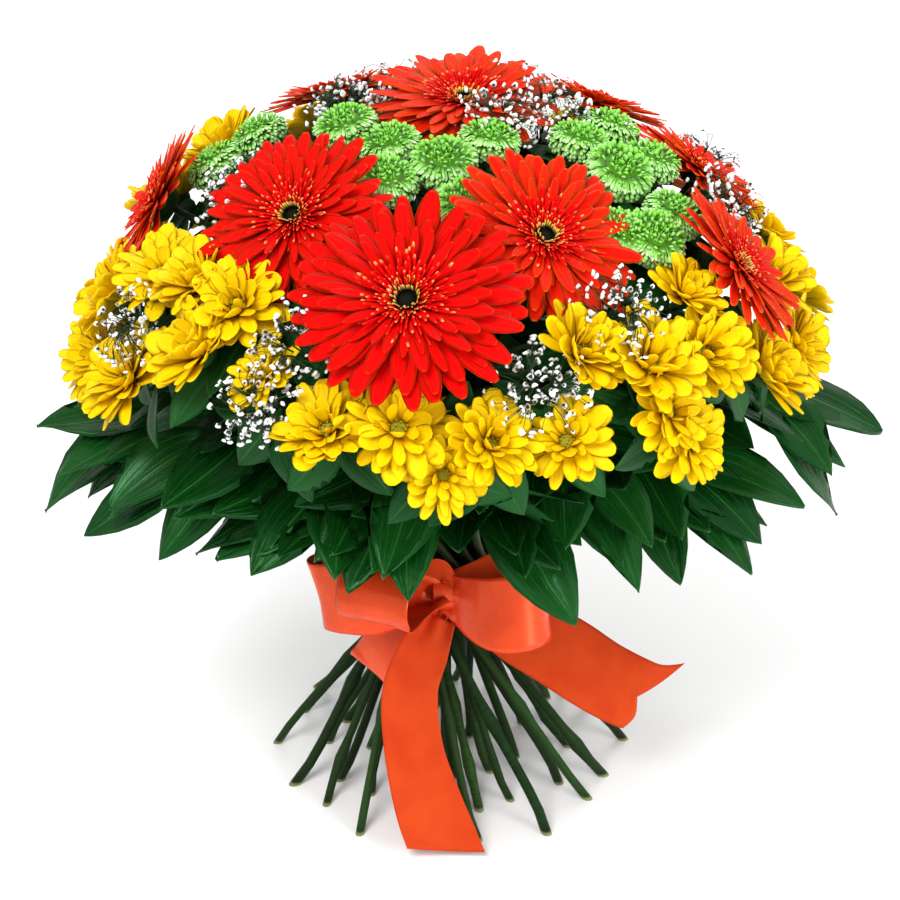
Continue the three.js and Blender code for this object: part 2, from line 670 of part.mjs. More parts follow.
// Whether a new piece stays clear of everything made so far but the node that it grows from
function isClear(piece, own, gap = seatGap) {
  const box = boxOf(piece).expandByScalar(gap);
  return made.every((node) => node === own || !box.intersectsBox(node.box)
    || node.solid.minGap(piece, gap * 2) >= gap);
}
const cutFeet = (solid) => solid.trimByPlane([0, 0, 1], 0);
const stemSides = { gerbera: 5, chrysanthemum: 5, ruscus: 5, button: 4, gypsophila: 5 };
const stemOf = (plant) => cutFeet(tube(plant.stem.points, stemRadius, stemTopRadius, stemSides[plant.kind]));

plants.forEach((plant) => {
  if (plant.kind === 'gerbera') {
    keep(plant, `${plant.name}_stem`, stemOf(plant), colours.stem);
    keep(plant, `${plant.name}_bloom`, bloom(plant.sites[0], gerberaForm), colours.gerbera);
  } else if (plant.kind === 'chrysanthemum' || plant.kind === 'button') {
    const heads = plant.sites.map((s, i) => (plant.kind === 'button'
      ? buttonHead(s, plant.branches[i]) : bloom(s, chrysanthemumForm, plant.branches[i])));
    plant.node = keep(plant, plant.name, fuse([stemOf(plant), ...heads]), colours[plant.kind]);
  } else if (plant.kind === 'gypsophila') {
    const branches = plant.branches.map((b) => tube(b.points, b.radius, b.radius, 3));
    plant.node = keep(plant, plant.name, fuse([stemOf(plant), ...branches]), colours.gypsophila);
  } else {
    plant.node = keep(plant, plant.name, stemOf(plant), colours.leaf);
  }
});

// The band round the stems, drawn in at its middle as the stems are
function ribbonBand() {
  const { bandWidth, bandRadius, bandFlare, thickness, facets } = ribbon;
  const half = bandWidth / 2;
  const profile = [
    [bandRadius + bandFlare, -half], [bandRadius + bandFlare + thickness, -half], [bandRadius + thickness, 0],
    [bandRadius + bandFlare + thickness, half], [bandRadius + bandFlare, half], [bandRadius, 0],
  ];
  const points = [];
  for (let i = 0; i < facets; i += 1) {
    profile.forEach(([radius, z]) => points.push(across((360 * i) / facets, radius, tieHeight + z)));
  }
  const sides = profile.length;
  const at = (i, j) => (i % facets) * sides + (j % sides);
  const triangles = [];
  for (let i = 0; i < facets; i += 1) {
    for (let j = 0; j < sides; j += 1) {
      triangles.push([at(i, j), at(i + 1, j), at(i + 1, j + 1)], [at(i, j), at(i + 1, j + 1), at(i, j + 1)]);
    }
  }
  return toSolid(closedGeometry(points, triangles));
}

// A strip of ribbon along points, its width lying along the given ways. Its end is cut on the slant.
function strip(points, ways, widths, slant = 0) {
  const last = points.length - 1;
  const corners = [];
  points.forEach((point, k) => {
    const along = points[Math.min(k + 1, last)].clone().sub(points[Math.max(k - 1, 0)]).normalize();
    const flat = ways[k].clone().addScaledVector(along, -ways[k].dot(along)).normalize();
    const face = along.clone().cross(flat).normalize();
    const cut = k === last ? slant : 0;
    [[-1, -1], [1, -1], [1, 1], [-1, 1]].forEach(([side, level]) => corners.push(point.clone()
      .addScaledVector(flat, (side * widths[k]) / 2)
      .addScaledVector(along, side * cut)
      .addScaledVector(face, (level * ribbon.thickness) / 2)));
  });
  const at = (k, i) => k * 4 + (i % 4);
  const triangles = [];
  for (let k = 0; k < last; k += 1) {
    for (let i = 0; i < 4; i += 1) {
      triangles.push([at(k, i), at(k, i + 1), at(k + 1, i + 1)], [at(k, i), at(k + 1, i + 1), at(k + 1, i)]);
    }
  }
  triangles.push([at(0, 0), at(0, 2), at(0, 1)], [at(0, 0), at(0, 3), at(0, 2)]);
  triangles.push([at(last, 0), at(last, 1), at(last, 2)], [at(last, 0), at(last, 2), at(last, 3)]);
  return toSolid(closedGeometry(corners, triangles));
}

function knot() {
  const ball = new THREE.SphereGeometry(1, 8, 6);
  ball.scale(...knotSize);
  ball.translate(...knotPlace);
  return toSolid(ball);
}

// A leaf: a pointed blade, folded a little along its middle and drooping towards its tip
function leafBlade(root, way, face, length, width, droop) {
  const side = face.clone().cross(way).normalize();
  const out = side.clone().cross(face).normalize();
  const place = (along, aside, height) => root.clone()
    .addScaledVector(out, along * length)
    .addScaledVector(side, (aside * width) / 2)
    .addScaledVector(face, height - droop * along * along * length);
  const points = [
    place(0, 0, leafThickness / 2), place(0, 0, -leafThickness / 2),
    place(0.3, 0.92, 1), place(0.72, 0.7, 1), place(1, 0, 0), place(0.72, -0.7, 1), place(0.3, -0.92, 1),
    place(0.5, 0, 0), place(0.5, 0, -leafThickness),
  ];
  const upper = [[0, 7, 2], [2, 7, 3], [3, 7, 4], [4, 7, 5], [5, 7, 6], [6, 7, 0]];
  const lower = upper.map((t) => t.map((k) => ({ 0: 1, 7: 8 }[k] ?? k)).reverse());
  return toSolid(closedGeometry(points, [...upper, ...lower, [0, 2, 1], [0, 1, 6]]));
}

// Grows one leaf from a stem, turned or shortened until it is clear of everything
function growLeaf(node, { root, along, sweep, dip, roll, length, width }) {
  const level = up.clone().addScaledVector(along, -up.dot(along)).normalize();
  const turns = [[0, 0], [0, 8], [0, -8], [9, 0], [-9, 0], [6, 14], [6, -14], [-8, 20], [14, -20], [0, 28]];
  for (const scale of [1, 0.85]) {
    for (const [turn, drop] of turns) {
      const way = along.clone().applyAxisAngle(level, radians(sweep + Math.sign(sweep || 1) * turn));
      const hinge = way.clone().cross(level).normalize();
      way.applyAxisAngle(hinge, radians(-(dip + drop)));
      const face = hinge.clone().cross(way).normalize().applyAxisAngle(way, radians(roll));
      const seat = root.clone().addScaledVector(way, 0.4 * stemTopRadius);
      const blade = leafBlade(seat, way, face, length * scale, width * scale, 0.16);
      if (isClear(blade, node)) return blade;
    }
  }
  return null;
}

function addLeaves(node, leaves) {
  const grown = leaves.map((leaf) => growLeaf(node, leaf)).filter(Boolean);
  if (grown.length) node.solid = fuse([node.solid, ...grown]);
  node.box = boxOf(node.solid);
}

// Ruscus: leaves along both sides of the stem and one at its end
function ruscusLeaves(plant, index) {
  const { length, width, count } = ruscusLeaf;
  const curve = new THREE.CatmullRomCurve3(plant.stem.points.slice(2));
  const start = plant.tier ? 0.36 : 0.42;
  const leaves = [];
  for (let k = 0; k < count; k += 1) {
    const last = k === count - 1;
    const place = start + ((0.985 - start) * k) / (count - 1);
    const side = (k + index) % 2 ? 1 : -1;
    const size = 0.82 + 0.18 * Math.sin(Math.PI * (0.25 + 0.6 * place)) ** 2;
    leaves.push({
      root: curve.getPointAt(place),
      along: curve.getTangentAt(place),
      sweep: last ? 0 : side * -(50 - 10 * place),
      dip: ruscusTiers[plant.tier].dip,
      roll: last ? 0 : side * -12,
      length: length * size,
      width: width * size,
    });
  }
  addLeaves(plant.node, leaves);
}

// A spray's few leaves stand round the upper part of its stem, under the flowers
function sprayLeaves(plant, index) {
  const { length, width, count } = sprayLeaf;
  const curve = new THREE.CatmullRomCurve3(plant.stem.points.slice(1));
  const leaves = [];
  for (let k = 0; k < count; k += 1) {
    const place = 0.62 + (0.3 * k) / (count - 1);
    leaves.push({
      root: curve.getPointAt(place),
      along: curve.getTangentAt(place),
      sweep: (k % 2 ? 1 : -1) * (50 + ((index * 17) % 30)),
      dip: k < 2 ? 10 : -12,
      roll: 0,
      length,
      width,
    });
  }
  addLeaves(plant.node, leaves);
}

// A thin twig that swells into a small flower at its end
function floweringTwig(root, tip) {
  const { twigRadius, flowerRadius } = gypsophilaTuft;
  const way = tip.clone().sub(root).normalize();
  const side = new THREE.Vector3(way.y, -way.x, 0).normalize();
  const other = way.clone().cross(side);
  const ring = (centre, offset, radius) => [0, 1, 2].map((i) => centre.clone()
    .addScaledVector(way, offset)
    .addScaledVector(side, radius * Math.cos((2 * Math.PI * i) / 3))
    .addScaledVector(other, radius * Math.sin((2 * Math.PI * i) / 3)));
  const points = [
    ...ring(root, 0, twigRadius), ...ring(tip, -2, twigRadius), ...ring(tip, 0, flowerRadius),
    tip.clone().addScaledVector(way, 1.2),
  ];
  const triangles = [[0, 2, 1]];
  [0, 1, 2].forEach((i) => {
    const j = (i + 1) % 3;
    triangles.push([i, j, j + 3], [i, j + 3, i + 3], [i + 3, j + 3, j + 6], [i + 3, j + 6, i + 6]);
    triangles.push([i + 6, j + 6, 9]);
  });
  return toSolid(closedGeometry(points, triangles));
}

// Gypsophila: twigs leave each branch one above the other and fan out
function gypsophilaTufts(plant, index) {
  const { twigs, reach, spread } = gypsophilaTuft;
  const random = seeded(index + 1);
  const pieces = [];
  plant.branches.forEach((branch, b) => {
    const out = plant.sites[b].normal;
    const side = new THREE.Vector3(out.y, -out.x, 0).normalize();
    const other = out.clone().cross(side);
    const curve = new PointPath(branch.points);
    for (let k = 0; k < twigs; k += 1) {
      const root = curve.getPoint(0.99 - (0.22 * k) / twigs);
      for (let attempt = 0; attempt < 12; attempt += 1) {
        const turn = 2.4 * k + random();
        const lean = radians(spread) * Math.sqrt((k + 0.2) / twigs) * (0.8 + 0.4 * random());
        const way = out.clone().multiplyScalar(Math.cos(lean))
          .addScaledVector(side, Math.sin(lean) * Math.cos(turn))
          .addScaledVector(other, Math.sin(lean) * Math.sin(turn));
        const size = (reach + 1.5 * k) * (0.8 + 0.4 * random());
        const twig = floweringTwig(root, root.clone().addScaledVector(way, size));
        if (isClear(twig, plant.node)) {
          pieces.push(twig);
          break;
        }
      }
    }
  });
  if (pieces.length) plant.node.solid = fuse([plant.node.solid, ...pieces]);
  plant.node.box = boxOf(plant.node.solid);
}

keep(null, 'ribbon_band', ribbonBand(), colours.ribbon, 0.35);
const vectors = (list) => list.map((v) => new THREE.Vector3(...v));
const ribbonStrip = ({ points, widths, across: ways, slant }) => (
  strip(vectors(points), vectors(ways), widths, slant));
keep(null, 'ribbon_bow', fuse([knot(), ...bowLoops.map(ribbonStrip)]), colours.ribbon, 0.35);
tails.forEach((tail) => keep(null, tail.name, ribbonStrip(tail), colours.ribbon, 0.35));
plants.filter((p) => p.kind === 'ruscus').forEach(ruscusLeaves);
plants.filter((p) => p.kind === 'chrysanthemum').forEach(sprayLeaves);
plants.filter((p) => p.kind === 'gypsophila').forEach(gypsophilaTufts);

// The origin is under the middle of the bouquet, at the level it stands on
const whole = made.reduce((box, node) => box.union(boxOf(node.solid)), new THREE.Box3());
const centre = whole.getCenter(new THREE.Vector3());
bouquet.position.set(-centre.x, -centre.y, -whole.min.z);

made.forEach(({ name, solid, colour, roughness }) => {
  const material = new THREE.MeshStandardMaterial({ color: colour, roughness, metalness: 0 });
  const mesh = new THREE.Mesh(toGeometry(solid), material);
  mesh.name = name;
  bouquet.add(mesh);
});

export default bouquet;
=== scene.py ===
"""A hand-tied round bouquet: gerberas, chrysanthemums and gypsophila over ruscus, tied with a satin bow.

Lengths are metres in the part's own frame: +Z up, the front at -Y, azimuths in degrees from the front to +X.
"""

import bpy
import numpy as np
from bpy.props import FloatProperty, FloatVectorProperty, IntProperty, PointerProperty
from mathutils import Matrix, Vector


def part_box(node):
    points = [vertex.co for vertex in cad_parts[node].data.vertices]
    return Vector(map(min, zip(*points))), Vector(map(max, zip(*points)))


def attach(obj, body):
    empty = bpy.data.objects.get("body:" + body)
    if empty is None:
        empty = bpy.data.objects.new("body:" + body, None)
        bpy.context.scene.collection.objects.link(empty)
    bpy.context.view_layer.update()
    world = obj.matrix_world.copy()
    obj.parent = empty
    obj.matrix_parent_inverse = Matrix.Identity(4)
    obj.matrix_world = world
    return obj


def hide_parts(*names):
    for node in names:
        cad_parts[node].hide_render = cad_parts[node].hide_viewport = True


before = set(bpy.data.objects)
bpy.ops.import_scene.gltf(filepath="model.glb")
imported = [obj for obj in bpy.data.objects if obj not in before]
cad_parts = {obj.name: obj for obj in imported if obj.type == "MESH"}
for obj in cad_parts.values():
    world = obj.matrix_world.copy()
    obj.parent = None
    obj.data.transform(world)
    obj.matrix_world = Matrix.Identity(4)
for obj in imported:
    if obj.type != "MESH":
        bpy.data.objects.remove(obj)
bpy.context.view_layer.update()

bl_info = {
    "name": "Hand-Tied Flower Bouquet",
    "version": (1, 0, 0),
    "blender": (4, 5, 0),
    "location": "3D View > Sidebar > Bouquet",
    "description": "Builds a round bouquet of gerberas, chrysanthemums and gypsophila with a satin bow",
    "category": "Add Mesh",
}

MM = 0.001
UP = np.array([0.0, 0.0, 1.0])
TAU = 2 * np.pi
GOLDEN_TURN = np.pi * (3 - np.sqrt(5))

# The middle of the tie, which every plant is laid out round
BAND_LOW, BAND_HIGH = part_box("ribbon_band")
TIE_AXIS = np.array([(BAND_LOW.x + BAND_HIGH.x) / 2, (BAND_LOW.y + BAND_HIGH.y) / 2, 0.0])

# The stems stand in rings at the tie, this far from its middle in millimetres
TIE_RINGS = (3.25, 9.0, 14.9, 20.8)

# Gerberas: azimuth, tilt, radius and lift in millimetres, ring, and the azimuth and tilt that the bloom looks
# to if it isn't straight out
GERBERAS = (
    (-8, 48, 54, 9, 2, None),
    (-45, 35, 47, 4, 1, (-34, 40)),
    (25, 35, 48, 2, 1, (33, 37)),
    (66, 56, 42, 6, 2, (80, 49)),
    (-96, 55, 41, 4, 2, (-88, 61)),
    (165, 9, 48, 2, 0, (0, 8)),
    (-146, 34, 42, 4, 1, None),
    (135, 37, 38, 4, 1, None),
    (101, 46, 37, 2, 2, None),
    (-172, 66, 43, 3, 2, None),
    (124, 72, 42, 3, 2, None),
)
# How much orange each gerbera shows, from none to full
GERBERA_GLOW = (0.03, 0.12, 0.55, 0.9, 0.85, 0.85, 0.75, 0.5, 0.8, 0.6, 0.8)

# Spray chrysanthemums: the ring, and each bloom's azimuth, tilt and radius in millimetres
CHRYSANTHEMUMS = (
    (3, ((-78, 70, 26), (-95, 78, 25), (-62, 80, 27), (-79, 86, 23))),
    (2, ((-67, 57, 24), (-56, 54, 22), (-43, 54, 24))),
    (2, ((-46, 65, 26), (-32, 65, 18), (-19, 73, 23))),
    (3, ((-8, 71, 25), (6, 74, 22), (-1, 80, 19), (18, 75, 21))),
    (2, ((23, 58, 23), (35, 64, 27), (47, 66, 24), (50, 54, 20))),
    (3, ((36, 74, 20), (39, 82, 22), (60, 77, 26), (77, 82, 25))),
    (2, ((80, 66, 22), (96, 64, 24), (94, 79, 25))),
    (2, ((-120, 50, 24), (-116, 66, 25), (-132, 62, 24), (-113, 82, 24))),
    (2, ((-136, 77, 26), (-150, 84, 24), (-152, 58, 25))),
    (3, ((150, 58, 25), (164, 84, 24), (150, 78, 25), (174, 48, 24))),
)

# Button chrysanthemums, given in the same way
BUTTONS = (
    (1, ((-98, 17, 16), (-52, 12, 15), (-114, 37, 15), (-101, 43, 15))),
    (0, ((-29, 21, 16), (-4, 14, 16), (6, 26, 17), (43, 9, 15))),
    (1, ((85, 21, 15), (110, 29, 15), (72, 29, 17), (90, 34, 15))),
    (1, ((54, 42, 16), (67, 41, 15), (47, 38, 13))),
)

# Gypsophila sprays: the ring, and each tuft's azimuth, tilt and rough radius
GYPSOPHILAS = (
    (1, ((-126, 22, 22), (-160, 26, 22), (-70, 37, 22))),
    (0, ((88, 8, 22), (150, 22, 22))),
    (1, ((118, 18, 22), (110, 52, 22), (86, 50, 22))),
    (2, ((32, 53, 22), (14, 64, 22))),
    (2, ((-27, 58, 22), (-31, 71, 20))),
    (2, ((174, 46, 22), (-64, 68, 22), (-172, 88, 22))),
)

# Ruscus stems stand round the collar in two tiers. The collar is oval: it reaches less far in front and
# behind. A tier says how far and how high its tips reach in millimetres, how its stems arch and slope at
# their ends, how far its leaves dip in degrees, where on the arch they start and how pale its stems are.
RUSCUS_COUNT = 14
RUSCUS_TIERS = (
    {"reach": 158, "front": 76, "back": 138, "height": 216,
     "pull": 0.34, "slope": -0.05, "dip": 14, "start": 0.38, "pale": 0.0},
    {"reach": 142, "front": 72, "back": 120, "height": 202,
     "pull": 0.32, "slope": -0.15, "dip": 12, "start": 0.30, "pale": 0.4},
)

# The low leaves that hang over the bow and at the sides: where each ends, in millimetres, and its width
LOW_LEAVES = (
    ((-19, -135, 178), 32), ((-47, -128, 174), 33), ((-35, -128, 186), 28), ((4, -125, 195), 34),
    ((30, -125, 197), 30), ((49, -125, 190), 26), ((59, -125, 157), 37), ((81, -110, 182), 28),
    ((88, -115, 167), 27), ((110, -100, 166), 30), ((-79, -110, 185), 31), ((-62, -118, 188), 30),
    ((-110, -95, 172), 33), ((-93, -104, 180), 31), ((-138, -80, 162), 32), ((-122, -88, 176), 30),
    ((-165, -70, 183), 33), ((-177, -60, 164), 30), ((-198, -45, 171), 33), ((-202, -20, 204), 32),
    ((-190, -48, 196), 32), ((137, -30, 183), 32), ((143, -85, 157), 32), ((155, -60, 174), 33),
    ((191, -45, 169), 31), ((196, -25, 187), 32), ((206, -10, 194), 30), ((170, -62, 182), 33),
    ((123, -80, 178), 34), ((100, -95, 186), 32),
)

# The bow, in millimetres: where the knot is, and its half depth and half height
KNOT_PLACE = (-3, -35.3, 115)
KNOT_DEPTH, KNOT_HEIGHT = 7, 9
# The width in millimetres that the turn round the knot is gathered to
KNOT_WRAP = 11
# The loops: the right one, the left one in front, the far left one and the lower left one. Each is the points
# of its middle line, its width at each and the way of its width.
BOW_LOOPS = (
    (
        (
            (-2, -36, 116), (9, -49, 117), (22, -57, 117), (35, -58, 118), (45, -52, 119),
            (48, -42, 120), (43, -35, 122), (30, -34, 123), (14, -35, 120), (-3, -36, 117)),
        (20, 30, 37, 38, 38, 38, 38, 36, 28, 18),
        (
            (-0.1, 0.4, 0.9), (-0.1, 0.4, 0.9), (-0.1, 0.4, 0.9), (-0.1, 0.35, 0.92),
            (-0.1, 0.3, 0.95), (-0.05, 0.2, 0.97), (0, 0.1, 0.99), (0, 0.05, 1), (0, 0.05, 1),
            (0, 0.1, 0.99)),
    ),
    (
        (
            (-3, -36, 117), (-14, -37, 130), (-26, -43, 138), (-35, -53, 138), (-38, -62, 131),
            (-38, -65, 121), (-34, -60, 114), (-22, -49, 112.5), (-5, -38, 113)),
        (20, 30, 37, 38, 38, 38, 38, 32, 20),
        (
            (1, -0.1, 0.4), (1, -0.2, 0.2), (1, -0.3, 0.05), (1, -0.36, 0), (1, -0.4, 0), (1, -0.4, 0),
            (1, -0.36, 0), (0.95, -0.3, 0.2), (0.9, -0.2, 0.4)),
    ),
    (
        (
            (-4, -36, 115), (-19, -38.7, 118), (-36, -43, 116), (-52, -42, 116), (-63, -38, 115),
            (-66, -33, 115), (-60, -29, 115), (-42, -31, 116), (-22, -34, 116), (-5, -36, 116)),
        (18, 28, 36, 38, 38, 38, 38, 36, 27, 16),
        (
            (-0.1, 0.1, 0.98), (-0.15, 0.1, 0.98), (-0.2, 0.15, 0.95), (-0.25, 0.15, 0.95),
            (-0.25, 0.15, 0.95), (-0.25, 0.15, 0.95), (-0.25, 0.15, 0.95), (-0.2, 0.15, 0.95),
            (-0.1, 0.1, 0.98), (-0.1, 0.1, 0.98)),
    ),
    (
        (
            (-4, -35, 112), (-15, -36, 101), (-25, -38, 88), (-33, -38, 76), (-37, -36, 67),
            (-34, -32, 66), (-27, -33, 77), (-16, -33, 93), (-5, -34, 109)),
        (16, 26, 35, 38, 38, 38, 34, 24, 14),
        (
            (0.8, -0.2, 0.3), (0.85, -0.25, 0.2), (0.75, -0.6, -0.1), (0.68, -0.7, -0.2),
            (0.66, -0.72, -0.23), (0.66, -0.72, -0.23), (0.68, -0.7, -0.2), (0.85, -0.4, 0),
            (0.7, -0.5, 0.3)),
    ),
)
# Each tail: the points of its middle line, its width at each and the way of its width
FRONT_TAIL = (
    ((-6, -42.1, 106), (-13, -50, 91), (-20, -57, 71), (-18, -68, 43), (-11, -83, 22), (-2, -99.5, 4.5)),
    (19, 25, 28, 30, 34, 36),
    (
        (0.95, -0.05, 0.2), (0.95, 0, 0.2), (0.97, 0, 0.15), (0.98, 0, 0.15), (0.98, 0, 0.1),
        (0.98, 0.1, -0.05)),
)
RIGHT_TAIL = (
    ((4, -28.9, 108), (29, -35, 97), (54, -41, 86), (76, -47, 73), (94, -50, 64), (106, -48, 59)),
    (12, 32, 38, 38, 38, 35),
    (
        (0.5, 0.4, 0.75), (0.55, 0.4, 0.7), (0.6, 0.4, 0.7), (0.6, 0.35, 0.7), (0.5, 0.3, 0.8),
        (0.4, 0.3, 0.85)),
)
# How the tails curl across and how their ends are cut
FRONT_END = {"curl": 0.05, "slant": 0.0075}
RIGHT_END = {"curl": -0.07, "slant": 0.007, "notch": 0.013, "lobe": 0.006, "hook": 0.005}
# How finely each strip is divided, along it and across it
LOOP_GRID, FRONT_GRID, RIGHT_GRID, KNOT_GRID = (97, 17), (61, 17), (61, 21), (49, 17)

# The area lights: where each stands from the middle of the bouquet, its size and its power in watts
LIGHTS = (
    ("key", (-0.6, -1.0, 1.5), 1.0, 27.0),
    ("fill", (1.2, -1.0, 0.4), 0.7, 12.0),
    ("rim", (0.3, 1.2, 1.1), 1.0, 10.0),
)
SKY_STRENGTH = 0.85


def length_of(name, text, default):
    return FloatProperty(name=name, description=text, default=default, min=0.0, unit="LENGTH")


def colour_of(name, text, default):
    return FloatVectorProperty(
        name=name, description=text, default=default, subtype="COLOR", min=0.0, max=1.0)


class BouquetShape(bpy.types.PropertyGroup):
    """The dome of flowers, the tie below it and the stems"""

    tie_height: length_of("Tie height", "Where the stems cross, above the cut ends", 0.110)
    dome_height: length_of("Dome height", "Centre of the dome of flowers, above the cut ends", 0.238)
    dome_radius: length_of("Dome radius", "Radius of the dome at its widest", 0.168)
    dome_rise: length_of("Dome rise", "From the dome's centre to its top", 0.114)
    spiral: FloatProperty(
        name="Spiral", description="Lean per metre from the middle of the tie", default=37.5)
    stray: length_of("Stray", "How far each foot strays from its even place in the spiral", 0.0045)
    stem_radius: length_of("Stem radius", "Radius of a stem at its cut end", 0.0028)
    stem_top: length_of("Stem top radius", "Radius of a stem under its bloom", 0.002)
    stem_colour: colour_of("Stem colour", "Green of the smooth stems", (0.007, 0.024, 0.006))
    young_colour: colour_of("Young stem colour", "Green of the paler stems", (0.04, 0.12, 0.02))
    brown_colour: colour_of("Brown stem colour", "Brown that some stems turn to", (0.016, 0.020, 0.010))
    cut_colour: colour_of("Cut colour", "Pith at the cut ends", (0.30, 0.34, 0.14))


class GerberaShape(bpy.types.PropertyGroup):
    """The gerberas"""

    rays: IntProperty(name="Rays", description="Petals in the outermost row", default=26, min=8)
    petal_colour: colour_of("Petals", "Red of the petals", (0.66, 0.0016, 0.0018))
    # Petal roots: the darker red towards the middle of the bloom is a painted shade on the petals and inner
    # florets; the petals' random dark streaks use it too.
    deep_colour: colour_of("Petal roots", "Darker red towards the middle", (0.24, 0.0006, 0.001))
    edge_colour: colour_of("Petal edge", "Orange of the fine edge and the underside", (0.90, 0.13, 0.008))
    tip_colour: colour_of("Floret tips", "Pale tips of the inner florets", (0.95, 0.42, 0.13))
    ring_colour: colour_of("Eye ring", "Yellow-green ring round the eye", (0.62, 0.56, 0.05))
    eye_colour: colour_of("Eye", "Near-black middle", (0.006, 0.005, 0.003))


class ChrysanthemumShape(bpy.types.PropertyGroup):
    """The yellow spray chrysanthemums"""

    petals: IntProperty(name="Petals", description="Petals in the outermost row", default=15, min=12)
    petal_colour: colour_of("Petals", "Yellow of the petals", (0.90, 0.62, 0.0016))
    # Ochre painted shade: in streaks that stand for the petals' creases, at their roots, along their edges
    # and on their undersides.
    ochre_shade_colour: colour_of("Petal folds", "Ochre in the folds and at the roots", (0.56, 0.27, 0.001))
    disc_colour: colour_of("Disc", "Olive of the disc", (0.30, 0.28, 0.008))


class ButtonShape(bpy.types.PropertyGroup):
    """The green button chrysanthemums"""

    florets: IntProperty(name="Florets", description="Florets on one head", default=230, min=20)
    floret_colour: colour_of("Florets", "Green of the florets", (0.18, 0.62, 0.02))
    rim_colour: colour_of("Rim", "Paler green of the outer florets and the tips", (0.68, 0.95, 0.48))


class GypsophilaShape(bpy.types.PropertyGroup):
    """The gypsophila"""

    flowers: IntProperty(name="Flowers", description="Flowers in one tuft", default=130, min=5)
    flower_radius: length_of("Flower radius", "Radius of one small flower", 0.0014)
    flower_colour: colour_of("Flowers", "White of the flowers", (0.93, 0.94, 0.95))
    twig_colour: colour_of("Twigs", "Green of the twigs", (0.012, 0.03, 0.008))


class RuscusShape(bpy.types.PropertyGroup):
    """The ruscus and the sprays' own leaves"""

    leaf_length: length_of("Leaf length", "Length of the longest leaves", 0.074)
    leaf_width: length_of("Leaf width", "Width of the widest leaves", 0.036)
    leaves: IntProperty(name="Leaves", description="Leaves on one stem", default=10, min=1)
    leaf_colour: colour_of("Leaf", "Dark green of the leaves", (0.0018, 0.040, 0.0045))
    vein_colour: colour_of("Veins", "Lighter green of the veins and the edge", (0.022, 0.16, 0.020))
    under_colour: colour_of("Underside", "Duller green of the underside", (0.008, 0.075, 0.010))


class RibbonShape(bpy.types.PropertyGroup):
    """The satin ribbon"""

    width: length_of("Ribbon width", "Width of the ribbon laid flat", 0.038)
    thickness: length_of("Ribbon thickness", "Thickness of the satin", 0.0004)
    band_width: length_of("Band width", "Width of the band round the stems", 0.028)
    band_radius: length_of("Band radius", "Inner radius of the band at its middle", 0.0252)
    band_flare: length_of("Band flare", "How far the band widens to its edges", 0.0026)
    # The shiny face's coral is lighter than the dull face's: partly a painted light that lifts the bow's
    # loops out of the flowers' shade.
    satin_and_painted_light_colour: colour_of("Satin", "Coral orange of the ribbon's shiny face", (0.82, 0.062, 0.013))
    dull_colour: colour_of("Dull face", "Orange of the ribbon's dull face", (0.57, 0.054, 0.010))
    deep_colour: colour_of("Satin folds", "Deeper red of the folds", (0.36, 0.006, 0.002))


class StageShape(bpy.types.PropertyGroup):
    """The floor, the lights and the camera"""

    distance: length_of("Camera distance", "From the camera to the middle of the bouquet", 1.25)
    elevation: FloatProperty(
        name="Elevation", description="Camera above the horizon", default=np.radians(29), unit="ROTATION")
    aim_height: length_of("Aim height", "Height of the point at the middle of the view", 0.178)
    view_width: length_of("View width", "Width of the view at the bouquet", 0.450)
    floor_colour: colour_of("Floor", "Pale floor", (0.92, 0.92, 0.92))


def unit(vectors):
    return vectors / np.linalg.norm(vectors, axis=-1, keepdims=True)


def around_axis(azimuth, radius, height):
    """Points about the tie: x is radius by the azimuth's sine, y minus radius by its cosine, z height."""
    turn = np.radians(azimuth)
    x, y, z = np.broadcast_arrays(radius * np.sin(turn), -radius * np.cos(turn), np.float64(height))
    return np.stack([x, y, z], axis=-1)


def on_dome(shape, azimuth, tilt, lift=0.0, face=None):
    """The dome is half an ellipsoid. This is its point at a tilt off the vertical, and its normal there or,
    where face gives an azimuth and a tilt, that way."""
    slope = np.radians(tilt)
    height = shape.dome_height + shape.dome_rise * np.cos(slope)
    point = around_axis(azimuth, shape.dome_radius * np.sin(slope), height)
    out = unit(around_axis(azimuth, np.sin(slope) / shape.dome_radius, np.cos(slope) / shape.dome_rise))
    normal = out
    if face is not None:
        normal = around_axis(face[0], np.sin(np.radians(face[1])), np.cos(np.radians(face[1])))
    return point + lift * out, normal


def turned(vectors, axis, degrees):
    """Vectors turned about unit axes: v cos + (axis x v) sin + axis (axis . v)(1 - cos)."""
    angle = np.radians(degrees)
    cos, sin = np.cos(angle)[..., None], np.sin(angle)[..., None]
    dot = np.sum(axis * vectors, axis=-1, keepdims=True)
    return vectors * cos + np.cross(axis, vectors) * sin + axis * dot * (1 - cos)


def basis(normal):
    """Two level ways square to each normal, and the normal itself, as rows."""
    helper = np.where(np.abs(normal[..., 2:]) < 0.9, UP, [1.0, 0.0, 0.0])
    side = unit(np.cross(helper, normal))
    return np.stack([side, np.cross(normal, side), normal], axis=-2)


def bend(start, start_way, end, end_way, fractions, pull=0.38):
    """A cubic curve that leaves start along start_way and reaches end along end_way."""
    reach = np.linalg.norm(end - start) * pull
    near, far = start + start_way * reach, end - end_way * reach
    t = fractions[:, None]
    return (1 - t) ** 3 * start + 3 * (1 - t) ** 2 * t * near + 3 * (1 - t) * t ** 2 * far + t ** 3 * end


